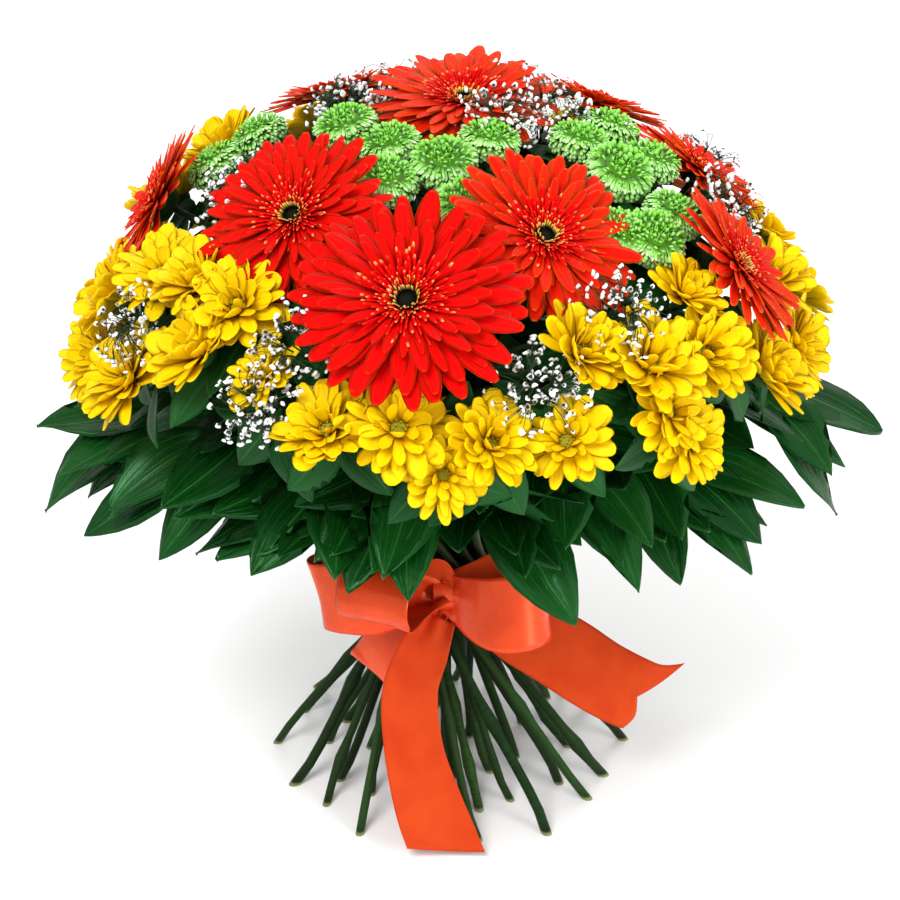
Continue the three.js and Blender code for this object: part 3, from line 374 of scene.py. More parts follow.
def smooth_line(points, fractions):
    """A curve through points, evenly by index: a cubic on each span, whose slope at each of its points is
    half the step between that point's neighbours."""
    points = np.asarray(points, float)
    last = len(points) - 1
    place = np.clip(np.asarray(fractions) * last, 0, last)
    k = np.minimum(place.astype(int), last - 1)
    t = (place - k)[:, None]
    padded = np.concatenate([2 * points[:1] - points[1:2], points, 2 * points[-1:] - points[-2:-1]])
    a, b, c, d = padded[k], padded[k + 1], padded[k + 2], padded[k + 3]
    square, cube = 2 * a - 5 * b + 4 * c - d, 3 * b - a - 3 * c + d
    return 0.5 * (2 * b + (c - a) * t + square * t ** 2 + cube * t ** 3)


def distances(path):
    """How far along a path each of its points is."""
    return np.concatenate([[0.0], np.cumsum(np.linalg.norm(np.diff(path, axis=0), axis=1))])


def tubes(paths, radii, around):
    """Rings about paths: at each point a circle of its radius, square to the path there."""
    along = unit(np.gradient(paths, axis=-2))
    chord = unit(paths[..., -1:, :] - paths[..., :1, :])
    level = unit(np.cross(np.where(np.abs(chord[..., 2:]) < 0.9, UP, [1.0, 0.0, 0.0]), chord))
    side = unit(level - along * np.sum(level * along, axis=-1, keepdims=True))
    other = np.cross(along, side)
    turn = TAU * np.arange(around)[:, None] / around
    circle = np.cos(turn) * side[..., None, :] + np.sin(turn) * other[..., None, :]
    return paths[..., None, :] + np.asarray(radii)[..., None, None] * circle


def lens_section(tops, bottoms):
    """The closed section of a thin blade: how far across each corner is, and if above (1) or below (-1)."""
    upper = np.linspace(1, -1, tops)
    lower = np.linspace(-1, 1, bottoms + 2)[1:-1]
    level = np.concatenate([[0.0], np.ones(tops - 2), [0.0], -np.ones(bottoms)])
    return np.concatenate([upper, lower]), level


def strap(t):
    """Half width of a gerbera's petal along its length: it widens from 0.36 at the root as t^0.85, up to 0.64
    of its length, and from 0.62 on it closes as (1 - u^2.4)^0.62 to a blunt end."""
    swell = 0.36 + 0.64 * np.clip(t / 0.64, 0, 1) ** 0.85
    return swell * (1 - np.clip((t - 0.62) / 0.384, 0, 1) ** 2.4) ** 0.62


def spoon(t):
    """Half width of a chrysanthemum's petal: it widens from 0.42 by a sine's power, up to two thirds of its
    length, and then closes as (1 - u^2.2)^0.5 to a round end."""
    swell = 0.42 + 0.58 * np.sin(np.pi * np.clip(t / 0.68, 0, 1) / 2) ** 1.5
    return swell * (1 - np.clip((t - 0.66) / 0.342, 0, 1) ** 2.2) ** 0.5


def thread(t):
    """Half width of a slim floret: even, wider from 0.6 to 0.9 of its length and narrow again at its tip."""
    return 0.7 + 0.5 * np.clip((t - 0.6) / 0.3, 0, 1) - 0.9 * np.clip((t - 0.85) / 0.15, 0, 1)


def pointed(t):
    """Half width of a leaf: 2.89 t^0.75 (1 - t)^0.78 (1 - 0.35 t^5), and a thin stalk."""
    return 2.89 * t ** 0.75 * (1 - t) ** 0.78 * (1 - 0.35 * t ** 5) + 0.03 * (1 - t)


class Pile:
    """Shapes lofted ring by ring, gathered into one mesh with the fields that the finishes read"""

    def __init__(self):
        self.points = []
        self.fields = []
        self.corners = []
        self.sizes = []
        self.finishes = []
        self.count = 0

    def add(self, rings, finish, along=0.0, across=0.0, under=0.0, whim=0.0, row=0.0):
        """Rings are (copies, stations, around, 3). Each copy is closed round them and capped at its ends."""
        copies, stations, around, _ = rings.shape
        index = self.count + np.arange(copies * stations * around).reshape(copies, stations, around)
        ahead = np.roll(index, -1, axis=2)
        quads = np.stack([index[:, :-1], ahead[:, :-1], ahead[:, 1:], index[:, 1:]], axis=-1)
        caps = np.concatenate([index[:, 0, ::-1], index[:, -1]])
        self.points.append(rings.reshape(-1, 3))
        shape = (copies, stations, around)
        each = [np.broadcast_to(field, shape).ravel() for field in (along, across, under, whim, row)]
        self.fields.append(np.stack(each, axis=-1))
        self.corners += [quads.ravel(), caps.ravel()]
        self.sizes += [np.full(quads.size // 4, 4), np.full(len(caps), around)]
        self.finishes.append(np.full(quads.size // 4 + len(caps), finish))
        self.count += copies * stations * around

    def mesh(self, name, materials):
        made = bpy.data.meshes.new(name)
        corners, sizes = np.concatenate(self.corners), np.concatenate(self.sizes)
        made.vertices.add(self.count)
        made.vertices.foreach_set("co", (np.concatenate(self.points) + TIE_AXIS).ravel())
        made.loops.add(len(corners))
        made.loops.foreach_set("vertex_index", corners.astype(np.int32))
        made.polygons.add(len(sizes))
        made.polygons.foreach_set("loop_start", (np.cumsum(sizes) - sizes).astype(np.int32))
        for material in materials:
            made.materials.append(material)
        made.polygons.foreach_set("material_index", np.concatenate(self.finishes).astype(np.int32))
        made.update(calc_edges=True)
        made.shade_smooth()
        fields = np.concatenate(self.fields)
        petal = made.attributes.new("petal", "FLOAT_VECTOR", "POINT")
        petal.data.foreach_set("vector", np.ascontiguousarray(fields[:, :3]).ravel())
        kind = made.attributes.new("kind", "FLOAT_VECTOR", "POINT")
        kind.data.foreach_set("vector", np.column_stack([fields[:, 3:], np.zeros(len(fields))]).ravel())
        return made

    def add_stalk(self, rings, finish, stretch, random, pale):
        """Adds a stem's rings, with its pattern stretched along it and at a chance place of its own."""
        along = np.linspace(0, stretch, rings.shape[1])[None, :, None]
        self.add(rings, finish, along, whim=random.uniform(0, 9), row=pale)


def add_piece(name, mesh, slot, *nodes):
    """Links a finished mesh as a piece that stands for its CAD nodes."""
    piece = bpy.data.objects.new(name, mesh)
    bpy.context.scene.collection.objects.link(piece)
    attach(piece, "root")
    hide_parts(*nodes)
    return piece


def shaded(colour, share, lift=0.0):
    """A colour with each of its parts times share, plus lift."""
    return tuple(lift + share * part for part in colour)


class Finish:
    """A procedural material, whose colour, roughness and bump are worked out from fields of the surface"""

    def __init__(self, name, **constants):
        self.material = bpy.data.materials.new(name)
        self.material.use_nodes = True
        self.nodes = self.material.node_tree.nodes
        self.links = self.material.node_tree.links
        self.shader = self.nodes["Principled BSDF"]
        for socket, value in constants.items():
            self.shader.inputs[socket.replace("_", " ")].default_value = value

    def put(self, socket, value):
        """Sets a socket to a number or colour, or links another socket to it."""
        if isinstance(value, bpy.types.NodeSocket):
            self.links.new(value, socket)
        elif hasattr(value, "__len__") and len(value) == 3 and socket.type == "RGBA":
            socket.default_value = (*value, 1.0)
        else:
            socket.default_value = value

    def node(self, kind, inputs=(), **options):
        made = self.nodes.new(kind)
        for option, value in options.items():
            setattr(made, option, value)
        for socket, value in dict(inputs).items():
            self.put(made.inputs[socket], value)
        return made

    def fields(self, name):
        """The three numbers of a vector attribute."""
        attribute = self.node("ShaderNodeAttribute", attribute_name=name)
        parts = self.node("ShaderNodeSeparateXYZ", {0: attribute.outputs["Vector"]})
        return parts.outputs[0], parts.outputs[1], parts.outputs[2]

    def place(self):
        return self.node("ShaderNodeTexCoord").outputs["Object"]

    def math(self, operation, a, b=0.0, clamp=False):
        return self.node("ShaderNodeMath", {0: a, 1: b}, operation=operation, use_clamp=clamp).outputs[0]

    def times(self, a, b):
        return self.math("MULTIPLY", a, b)

    def plus(self, a, b, clamp=False):
        return self.math("ADD", a, b, clamp)

    def join(self, x, y, z):
        return self.node("ShaderNodeCombineXYZ", {0: x, 1: y, 2: z}).outputs[0]

    def spread(self, value, low, high, to_low=0.0, to_high=1.0):
        """A smooth step of value from low to high."""
        inputs = {"Value": value, "From Min": low, "From Max": high, "To Min": to_low, "To Max": to_high}
        return self.node("ShaderNodeMapRange", inputs, interpolation_type="SMOOTHSTEP").outputs[0]

    def noise(self, vector, scale, detail=2.0, rough=0.5):
        inputs = {"Vector": vector, "Scale": scale, "Detail": detail, "Roughness": rough}
        return self.node("ShaderNodeTexNoise", inputs).outputs[0]

    def mix(self, share, a, b):
        made = self.node("ShaderNodeMix", {0: share}, data_type="RGBA")
        self.put(made.inputs[6], a)
        self.put(made.inputs[7], b)
        return made.outputs[2]

    def finish(self, colour, roughness=None, height=None, bump=0.3, depth=0.0005):
        self.put(self.shader.inputs["Base Color"], colour)
        if roughness is not None:
            self.put(self.shader.inputs["Roughness"], roughness)
        if height is not None:
            inputs = {"Height": height, "Strength": bump, "Distance": depth}
            self.put(self.shader.inputs["Normal"], self.node("ShaderNodeBump", inputs).outputs[0])
        return self.material


# How much a stem swells at a joint, and how long the swelling is
JOINT_SWELL = 0.0012
JOINT_LENGTH = 0.002
# How far a stem's azimuth at the tie runs ahead of its bloom's, because the stems spiral
SPIRAL_LEAD = 78
# How far above the middle of the tie a stem runs straight, and how far it bows below it
STRAIGHT_REACH = 0.016
STEM_BEND = 0.0022
# Each foot and each bow turns on from the last by this angle, so that they scatter evenly
SCATTER_TURN = 137.5
# The points of a stem's path up to the end of its straight part
LOW_POINTS = 13
# Where a spray forks, as a share of the way up to its blooms, and how far apart its branches leave the stem
FORK_PLACE = 0.64
BRANCH_SPACING = 0.0045
# How far below its bloom's face a stem or branch ends
BASE_DEPTH = {"gerbera": 0.0083, "chrysanthemum": 0.006, "button": 0.009, "gypsophila": 0.014}
# From this height down to this one the cut end turns pale
CUT_BAND = (0.0022, 0.0004)


def stem_finish(name, shape, colour):
    """Green stem: mottled and streaked along its length, brown in places and paler at its cut end."""
    work = Finish(name, Specular_IOR_Level=0.2, Specular_Tint=(0.4, 0.8, 0.35, 1.0))
    along, across, _ = work.fields("petal")
    whim, row, _ = work.fields("kind")
    drawn = work.join(work.times(along, 4.0), work.times(across, 3.0), whim)
    streak = work.noise(drawn, 6.0, 3.0)
    mottle = work.noise(work.place(), 260.0, 3.0)
    green = work.mix(work.spread(streak, 0.3, 0.75), colour, shaded(colour, 0.45))
    green = work.mix(work.times(work.spread(mottle, 0.5, 0.75), 0.5), green, shaded(colour, 1.9))
    green = work.mix(work.times(row, 0.75), green, shape.young_colour)
    brown = work.times(work.math("PINGPONG", work.times(whim, 1.37), 1.0), 0.75)
    green = work.mix(brown, green, shape.brown_colour)
    height = work.node("ShaderNodeSeparateXYZ", {0: work.place()}).outputs[2]
    green = work.mix(work.spread(height, *CUT_BAND), green, shape.cut_colour)
    return work.finish(green, work.spread(mottle, 0.2, 0.8, 0.42, 0.62), streak, 0.5, 0.0004)


def stem_rings(shape, path, around, joints=()):
    """Rings of one stem: it tapers, swells a little at each joint and is cut off level at the ground. How
    stout it is follows a sine of where it stands."""
    along = distances(path)
    radii = shape.stem_radius + (shape.stem_top - shape.stem_radius) * along / along[-1]
    radii = radii * (0.86 + 0.1 * np.sin(900 * path[0, 0] + 700 * path[0, 1]))
    for joint in joints:
        radii = radii + JOINT_SWELL * np.exp(-((along - joint) / JOINT_LENGTH) ** 2)
    rings = tubes(path[None], radii[None], around)
    way = unit(path[1] - path[0])
    rings[0, 0] -= way * (rings[0, 0, :, 2:] / way[2])
    return rings, along


class Plant:
    """One cut stem of the bouquet, with its place in the tie and the sites of its flowers"""

    def __init__(self, kind, number, ring, azimuth, sites=(), tier=0):
        self.kind = kind
        self.number = number
        self.ring = ring
        self.azimuth = (azimuth + 180) % 360 - 180
        self.sites = sites
        self.tier = tier

    def stand(self, shape, tie_azimuth, order):
        """The straight part of the stem: from its cut end on the ground through the tie."""
        radius = TIE_RINGS[self.ring] * MM
        tie = around_axis(tie_azimuth, radius, shape.tie_height)
        way = UP - shape.spiral * radius * around_axis(tie_azimuth + 90, 1.0, 0.0)
        way = way - around_axis(SCATTER_TURN * order, shape.stray / shape.tie_height, 0.0)
        self.foot = tie - way * shape.tie_height
        self.release = tie + way * STRAIGHT_REACH
        self.way = unit(way)
        self.aside = around_axis(SCATTER_TURN * order + 60, 1.0, 0.0)

    def rise(self, end, end_way, steps, pull=0.38):
        """The stem's whole path: up to the tie with a slight bow aside, then one curve to its end."""
        t = np.linspace(0, 1, LOW_POINTS + 1)[:-1, None]
        bow = STEM_BEND * np.sin(TAU * t ** 0.7) * (1 - t)
        low = self.foot + t * (self.release - self.foot) + bow * self.aside
        high = bend(self.release, self.way, end, end_way, np.linspace(0, 1, steps), pull)
        return np.concatenate([low, high])

    def fork(self):
        """Where a spray's stem forks, the way it points there and where its branches end."""
        bases = np.array([s["point"] - s["normal"] * BASE_DEPTH[self.kind] for s in self.sites])
        middle = bases.mean(axis=0)
        return self.release + (middle - self.release) * FORK_PLACE, unit(middle - self.release), bases


def mean_azimuth(blooms):
    total = sum(around_axis(azimuth, np.sin(np.radians(tilt)), 0.0) for azimuth, tilt, _ in blooms)
    return np.degrees(np.arctan2(total[0], -total[1]))


def lay_out(shape):
    """Every plant: its sites on the dome, and its place in the ring of the tie that it stands in."""
    plants = []

    def site(azimuth, tilt, radius, lift=0.0, face=None):
        point, normal = on_dome(shape, azimuth, tilt, lift * MM, face)
        return {"point": point, "normal": normal, "radius": radius * MM, "tilt": tilt}

    for i, (azimuth, tilt, radius, lift, ring, face) in enumerate(GERBERAS, 1):
        plants.append(Plant("gerbera", i, ring, azimuth, [site(azimuth, tilt, radius, lift, face)]))
    for kind, sprays in (("chrysanthemum", CHRYSANTHEMUMS), ("button", BUTTONS), ("gypsophila", GYPSOPHILAS)):
        for i, (ring, blooms) in enumerate(sprays, 1):
            plants.append(Plant(kind, i, ring, mean_azimuth(blooms), [site(*bloom) for bloom in blooms]))
    for i in range(RUSCUS_COUNT):
        plants.append(Plant("ruscus", i + 1, 3, 360 * (i + 0.5) / RUSCUS_COUNT - 180, tier=i % 2))
    order = 0
    for ring in range(len(TIE_RINGS)):
        members = sorted((p for p in plants if p.ring == ring), key=lambda p: p.azimuth)
        pitch = 360 / len(members)
        offset = np.mean([p.azimuth - i * pitch for i, p in enumerate(members)])
        for i, plant in enumerate(members):
            plant.stand(shape, offset + i * pitch + SPIRAL_LEAD, order)
            order += 1
    return plants


def look_about(site, random, most, lift=0.0):
    """A bloom's site, its face turned by up to most degrees to a chance side and lifted to the vertical."""
    level = unit(random.normal(0, 1, 3) * [1, 1, 0.3])
    normal = site["normal"] + np.tan(np.radians(most)) * random.uniform(0.3, 1) * level + lift * UP
    return {**site, "normal": unit(normal)}


def on_site(site, local):
    """Points from a bloom's own frame, its face along +Z, to its place on the dome."""
    return local @ basis(site["normal"]) + site["point"]


def petal_kind(outline, stations, corners, channel, thick, loose):
    """What the petals of a kind share: the outline, the stations along it, the corners of the section above
    and below, how far the section is dished, the thickness and how much one petal differs from the next."""
    return {"outline": outline, "stations": np.array(stations), "section": lens_section(*corners),
            "channel": channel, "thick": thick, "loose": loose}


PETAL_STATIONS = (0.0, 0.18, 0.38, 0.56, 0.71, 0.84, 0.94, 0.985)
SPOON_STATIONS = (0.0, 0.22, 0.46, 0.66, 0.82, 0.93, 0.985)
FLORET_STATIONS = (0.0, 0.45, 0.82, 0.99)
GERBERA_PETAL = petal_kind(strap, PETAL_STATIONS, (5, 3), 0.12, 0.0005, 1.0)
GERBERA_FLORET = petal_kind(thread, FLORET_STATIONS, (3, 1), 0.2, 0.0004, 1.7)
GERBERA_EYE_FLORET = petal_kind(thread, FLORET_STATIONS, (3, 1), 0.2, 0.0004, 2.2)
CHRYSANTHEMUM_PETAL = petal_kind(spoon, SPOON_STATIONS, (5, 3), 0.34, 0.0005, 2.1)
BUTTON_FRINGE = petal_kind(thread, FLORET_STATIONS, (3, 1), 0.3, 0.0004, 1.2)


def petal_ring(random, size, layer, kind):
    """A ring of petals about +Z, as thin closed blades, with their fields.

    A layer says how many petals it has, then as shares of size the radius that they start from, their length
    and their width, then in degrees how far they rise and bow, their level as a share of size and their
    phase. A petal's middle line leaves the starting circle at the angle rise above the level and turns by bow
    on its way. Its half width is the outline's times half of width, its section is a lens dished by channel,
    and every petal differs a little in length, width, rise, sway and twist.
    """
    count, start, length, width, rise, bow, level, phase = layer
    start, length, width, level = start * size, length * size, width * size, level * size
    outline, stations, channel, thick, loose = (
        kind[key] for key in ("outline", "stations", "channel", "thick", "loose"))
    across, upper = kind["section"]
    t = stations[None, :, None]

    def vary(amount):
        return loose * amount * random.uniform(-1, 1, (count, 1, 1))

    reach = length * (1 + vary(0.07))
    angle = np.radians(rise + vary(5.0) + (bow + vary(7.0)) * t)
    step = np.diff(stations, prepend=0.0)[None, :, None]
    radial = start + reach * np.cumsum(np.cos(angle) * step, axis=1)
    height = level + reach * np.cumsum(np.sin(angle) * step, axis=1)
    half = 0.5 * width * (1 + vary(0.14)) * outline(t)
    twist = np.radians(vary(16.0)) * t
    sway = vary(0.055) * reach * t ** 2
    aside = half * across
    lift = (channel + vary(0.1)) * half * (across ** 2 - 0.4) + 0.5 * thick * upper
    moved = aside * np.cos(twist) - lift * np.sin(twist) + sway
    risen = aside * np.sin(twist) + lift * np.cos(twist)
    turn = TAU * (np.arange(count)[:, None, None] + phase) / count + vary(0.35) / count
    out, z = radial - risen * np.sin(angle), height + risen * np.cos(angle)
    x, y = out * np.cos(turn) - moved * np.sin(turn), out * np.sin(turn) + moved * np.cos(turn)
    whim = random.uniform(0, 1, (count, 1, 1))
    fields = {"along": t, "across": across, "under": (1 - upper) / 2, "whim": whim}
    return np.stack([x, y, z], axis=-1), fields


def add_petals(pile, site, random, finish, layer, kind, **fields):
    """Adds a ring of petals to a bloom."""
    rings, own = petal_ring(random, site["radius"], layer, kind)
    pile.add(on_site(site, rings), finish, **own, **fields)


def dome_rings(radius, height, floor, around=20, steps=7):
    """A low dome about +Z: circles from its floor up over a quarter ellipse to a small cap."""
    t = np.linspace(0, 0.97, steps) * np.pi / 2
    reach = np.concatenate([[radius * 0.9], radius * np.cos(t)])
    z = np.concatenate([[floor], height * np.sin(t)])
    turn = TAU * np.arange(around) / around
    ring = np.stack([np.cos(turn), np.sin(turn), np.zeros(around)], axis=-1)
    return (reach[:, None, None] * ring + z[:, None, None] * UP)[None]


def cup_rings(top_radius, top, depth, foot_radius, ridges=15):
    """The green cup under a bloom: it widens from the stem to its rim, ridged by its bracts."""
    t = np.linspace(0, 1, 7)
    reach = foot_radius + (top_radius - foot_radius) * np.sin(t * np.pi / 2) ** 0.8
    z = top - depth * (1 - t ** 1.6)
    around = ridges * 2
    turn = TAU * np.arange(around) / around
    ridge = 1 + 0.05 * (np.arange(around) % 2)
    ring = np.stack([np.cos(turn) * ridge, np.sin(turn) * ridge, np.zeros(around)], axis=-1)
    return (reach[:, None, None] * ring + z[:, None, None] * UP)[None]


# The radius of a cup where it meets its stem, for a gerbera and for a spray's blooms
GERBERA_FOOT = 0.003
SPRAY_FOOT = 0.0017
# Where on a stem's pattern a cup lies, along and across, and how pale a spray's cups are
CUP_PLACE = (0.5, 0.3)
CUP_PALE = 0.6


def gerbera_petal_finish(shape):
    """Red petals: ribbed along their length, darker at the root in a painted shade, with a fine orange edge
    and underside. The row is how much of the orange shows."""
    work = Finish("gerbera petals", Specular_IOR_Level=0.08, Specular_Tint=(1.0, 0.25, 0.2, 1.0))
    along, across, under = work.fields("petal")
    whim, glow, _ = work.fields("kind")
    drawn = work.join(work.times(across, 7.0), along, work.times(whim, 40.0))
    streak = work.noise(drawn, 2.2, 3.0)
    # Painted shade: the petals darken towards the middle of the bloom.
    red = work.mix(work.spread(along, 0.05, 0.5), shape.deep_colour, shape.petal_colour)
    red = work.mix(work.times(work.spread(streak, 0.45, 0.7), 0.35), red, shape.deep_colour)
    warm = work.times(glow, work.spread(along, 0.2, 1.0, 0.01, 0.2))
    red = work.mix(work.times(work.plus(whim, 0.4), warm), red, shape.edge_colour)
    side = work.spread(work.math("ABSOLUTE", across), 0.86, 1.0)
    rim = work.math("MAXIMUM", side, work.spread(along, 0.95, 0.99))
    rim = work.times(rim, work.spread(along, 0.2, 0.8, 0.0, 0.9))
    red = work.mix(work.times(rim, work.plus(glow, 0.16, True)), red, shape.edge_colour)
    red = work.mix(work.times(under, work.plus(glow, 0.1, True)), red, shape.edge_colour)
    ribs = work.math("COSINE", work.times(across, 10.0))
    height = work.plus(ribs, work.times(streak, 1.5))
    return work.finish(red, work.spread(streak, 0.3, 0.8, 0.42, 0.6), height, 0.35, 0.0004)


def gerbera_floret_finish(shape):
    """The slim inner florets: red, darker at their roots in a painted shade, with tips that turn pale orange.
    """
    work = Finish(
        "gerbera inner florets", Specular_IOR_Level=0.08, Specular_Tint=(1.0, 0.3, 0.2, 1.0), Roughness=0.5)
    along, _, _ = work.fields("petal")
    whim, _, _ = work.fields("kind")
    tip = work.times(work.spread(along, 0.84, 0.97), work.spread(whim, 0.45, 0.85, 0.08, 0.9))
    # Painted shade: the florets darken towards their roots.
    red = work.mix(work.spread(along, 0.1, 0.7), shape.deep_colour, shape.petal_colour)
    return work.finish(work.mix(tip, red, shape.tip_colour))


def gerbera_eye_finishes(shape):
    """The yellow-green ring of fine florets round the near-black middle, and the middle."""
    ring = Finish("gerbera eye ring", Specular_IOR_Level=0.3, Roughness=0.55)
    along, _, _ = ring.fields("petal")
    whim, _, _ = ring.fields("kind")
    tint = ring.mix(ring.spread(whim, 0.3, 0.7), shape.ring_colour, shape.tip_colour)
    first = ring.finish(ring.mix(ring.spread(along, 0.2, 0.8), shape.eye_colour, tint))
    eye = Finish("gerbera eye", Specular_IOR_Level=0.08, Roughness=0.7)
    grain = eye.noise(eye.place(), 1500.0, 3.0)
    tone = eye.mix(eye.spread(grain, 0.55, 0.8), shape.eye_colour, shaded(shape.eye_colour, 2, 0.02))
    return first, eye.finish(tone, None, grain, 0.8, 0.0006)


def gerbera_bloom(shape, site, seed, glow):
    """One gerbera: four layers of petals, six of inner florets, the eye with its ring and the cup below."""
    random = np.random.default_rng(seed)
    pile = Pile()
    size = site["radius"]
    for layer in (
        (shape.rays, 0.15, 0.82, 0.19, 5, -7, 0.0, 0.0),
        (shape.rays - 2, 0.14, 0.75, 0.175, 10, -9, 0.018, 0.5),
        (shape.rays - 3, 0.13, 0.61, 0.135, 15, -8, 0.032, 0.25),
        (shape.rays - 3, 0.12, 0.47, 0.09, 21, -6, 0.042, 0.6),
    ):
        add_petals(pile, site, random, 0, layer, GERBERA_PETAL, row=glow)
    for layer in (
        (30, 0.14, 0.32, 0.036, 27, -14, 0.05, 0.0),
        (32, 0.13, 0.27, 0.033, 32, -14, 0.055, 0.37),
        (32, 0.12, 0.22, 0.03, 37, -14, 0.06, 0.74),
        (32, 0.11, 0.18, 0.028, 43, -14, 0.06, 1.11),
        (30, 0.1, 0.145, 0.026, 49, -14, 0.06, 1.48),
        (28, 0.09, 0.115, 0.022, 56, -14, 0.06, 1.85),
    ):
        add_petals(pile, site, random, 1, layer, GERBERA_FLORET)
    for layer in ((38, 0.1, 0.105, 0.02, 40, 12, 0.05, 0.0), (30, 0.075, 0.085, 0.02, 60, 12, 0.05, 0.0)):
        add_petals(pile, site, random, 2, layer, GERBERA_EYE_FLORET)
    pile.add(on_site(site, dome_rings(0.085 * size, 0.07 * size, -0.02 * size)), 3)
    cup = cup_rings(0.24 * size, 0.02 * size, BASE_DEPTH["gerbera"] + 0.02 * size, GERBERA_FOOT)
    pile.add(on_site(site, cup), 4, *CUP_PLACE)
    return pile


def chrysanthemum_petal_finish(shape):
    """Yellow petals with an ochre painted shade at the root, in streaks along their folds, along their edges
    and on their undersides.
    """
    work = Finish("chrysanthemum petals", Specular_IOR_Level=0.08)
    along, across, under = work.fields("petal")
    whim, _, _ = work.fields("kind")
    drawn = work.join(work.times(across, 5.0), along, work.times(whim, 40.0))
    streak = work.noise(drawn, 2.0, 3.0)
    # Painted shade: ochre towards the roots.
    yellow = work.mix(work.spread(along, 0.0, 0.45), shape.ochre_shade_colour, shape.petal_colour)
    # Painted shade in the folds: ochre streaks along the petals, stronger towards the root.
    fold = work.times(work.spread(streak, 0.52, 0.72), work.spread(along, 1.0, 0.2, 0.1, 0.6))
    yellow = work.mix(fold, yellow, shape.ochre_shade_colour)
    # Painted shade: ochre along the petals' edges.
    edge = work.times(work.spread(work.math("ABSOLUTE", across), 0.85, 1.0), 0.35)
    yellow = work.mix(edge, yellow, shape.ochre_shade_colour)
    # Painted shade: ochre on the undersides.
    yellow = work.mix(work.times(under, 0.25), yellow, shape.ochre_shade_colour)
    ribs = work.math("COSINE", work.times(across, 7.0))
    height = work.plus(ribs, work.times(streak, 2.0))
    return work.finish(yellow, work.spread(streak, 0.3, 0.8, 0.4, 0.6), height, 0.35, 0.0004)


def chrysanthemum_disc_finish(shape):
    """The olive disc of tight florets, yellower at their tips."""
    work = Finish("chrysanthemum disc", Specular_IOR_Level=0.25, Roughness=0.7)
    along, _, _ = work.fields("petal")
    _, row, _ = work.fields("kind")
    tip = work.times(work.spread(along, 0.4, 1.0), work.spread(row, 0.4, 1.0, 0.25, 0.9))
    return work.finish(work.mix(tip, shape.disc_colour, shape.petal_colour))


def studs(random, count, radius, height, last_tilt, length, width, spread=0.0, curl=0.35):
    """Small florets that stand all over a low dome: their roots follow a sunflower spiral from the top out to
    last_tilt, and each points along the dome's normal, lies down the slope by spread at the rim and bends
    back by curl."""
    share = (np.arange(count) + 0.5) / count
    tilt = np.radians(last_tilt) * np.sqrt(share)
    turn = GOLDEN_TURN * np.arange(count) + random.uniform(-0.2, 0.2, count)
    out = np.stack([np.cos(turn), np.sin(turn), np.zeros(count)], axis=-1)
    roots = radius * np.sin(tilt)[:, None] * out + height * np.cos(tilt)[:, None] * UP
    way = unit(np.sin(tilt)[:, None] / radius * out + np.cos(tilt)[:, None] / height * UP)
    slope = np.cos(tilt)[:, None] * out - np.sin(tilt)[:, None] * UP
    way = unit(way + spread * share[:, None] * slope + random.normal(0, 0.1, (count, 3)))
    side = unit(np.cross(UP, way) + [1e-6, 0, 0])
    face = np.cross(way, side)
    t = np.array(FLORET_STATIONS)[None, :, None, None]
    across, upper = lens_section(3, 1)
    reach = (length * random.uniform(0.8, 1.2, count))[:, None, None, None]
    half = 0.5 * width * (0.5 + 0.75 * t - 0.95 * np.clip((t - 0.75) / 0.25, 0, 1) ** 2)
    bend_back = curl * reach * t ** 2 * share[:, None, None, None]
    at = roots[:, None, None] + way[:, None, None] * reach * t - face[:, None, None] * bend_back
    at = at + side[:, None, None] * half * across[:, None] + face[:, None, None] * half * 0.5 * upper[:, None]
    whim = random.uniform(0, 1, (count, 1, 1))
    return at, {"along": t[..., 0], "across": across, "whim": whim, "row": share[:, None, None]}


def chrysanthemum_bloom(shape, pile, site, seed):
    """One bloom: four layers of round petals that cup more to the middle, a studded disc and a green cup."""
    random = np.random.default_rng(seed)
    site = look_about(site, random, 30, 0.5 * np.sin(np.radians(site["tilt"])) ** 2)
    size = site["radius"]
    opening = random.uniform(-3, 22)
    for count, start, length, width, rise, bow, level, phase in (
        (shape.petals, 0.17, 0.87, 0.4, 5, -4, 0.0, 0.0),
        (shape.petals - 2, 0.16, 0.79, 0.37, 17, -2, 0.04, 0.5),
        (shape.petals - 5, 0.15, 0.6, 0.31, 33, 8, 0.07, 0.25),
        (shape.petals - 10, 0.14, 0.42, 0.24, 54, 14, 0.09, 0.6),
    ):
        layer = (count, start, length, width, rise + opening, bow, level, phase)
        add_petals(pile, site, random, 0, layer, CHRYSANTHEMUM_PETAL)
    pile.add(on_site(site, dome_rings(0.2 * size, 0.11 * size, -0.02 * size, 14, 4)), 1)
    rings, fields = studs(random, 36, 0.2 * size, 0.11 * size, 88, 0.06 * size, 0.06 * size)
    pile.add(on_site(site, rings), 1, **fields)
    cup = cup_rings(0.3 * size, 0.02 * size, BASE_DEPTH["chrysanthemum"], SPRAY_FOOT, 9)
    pile.add(on_site(site, cup), 2, *CUP_PLACE, row=CUP_PALE)


def button_finish(shape):
    """Green florets, darker at their roots in a painted shade, paler at their tips and towards the rim."""
    work = Finish("button chrysanthemum florets", Specular_IOR_Level=0.1, Roughness=0.55)
    along, _, _ = work.fields("petal")
    whim, row, _ = work.fields("kind")
    pale = work.times(work.spread(along, 0.35, 1.0), work.spread(row, 0.1, 0.8, 0.1, 0.95))
    # Painted shade: the florets darken towards their roots, down among the others.
    root_shade = shaded(shape.floret_colour, 0.3)
    green = work.mix(work.spread(along, 0.0, 0.6), root_shade, shape.floret_colour)
    green = work.mix(work.times(whim, 0.25), green, shape.rim_colour)
    return work.finish(work.mix(pale, green, shape.rim_colour))


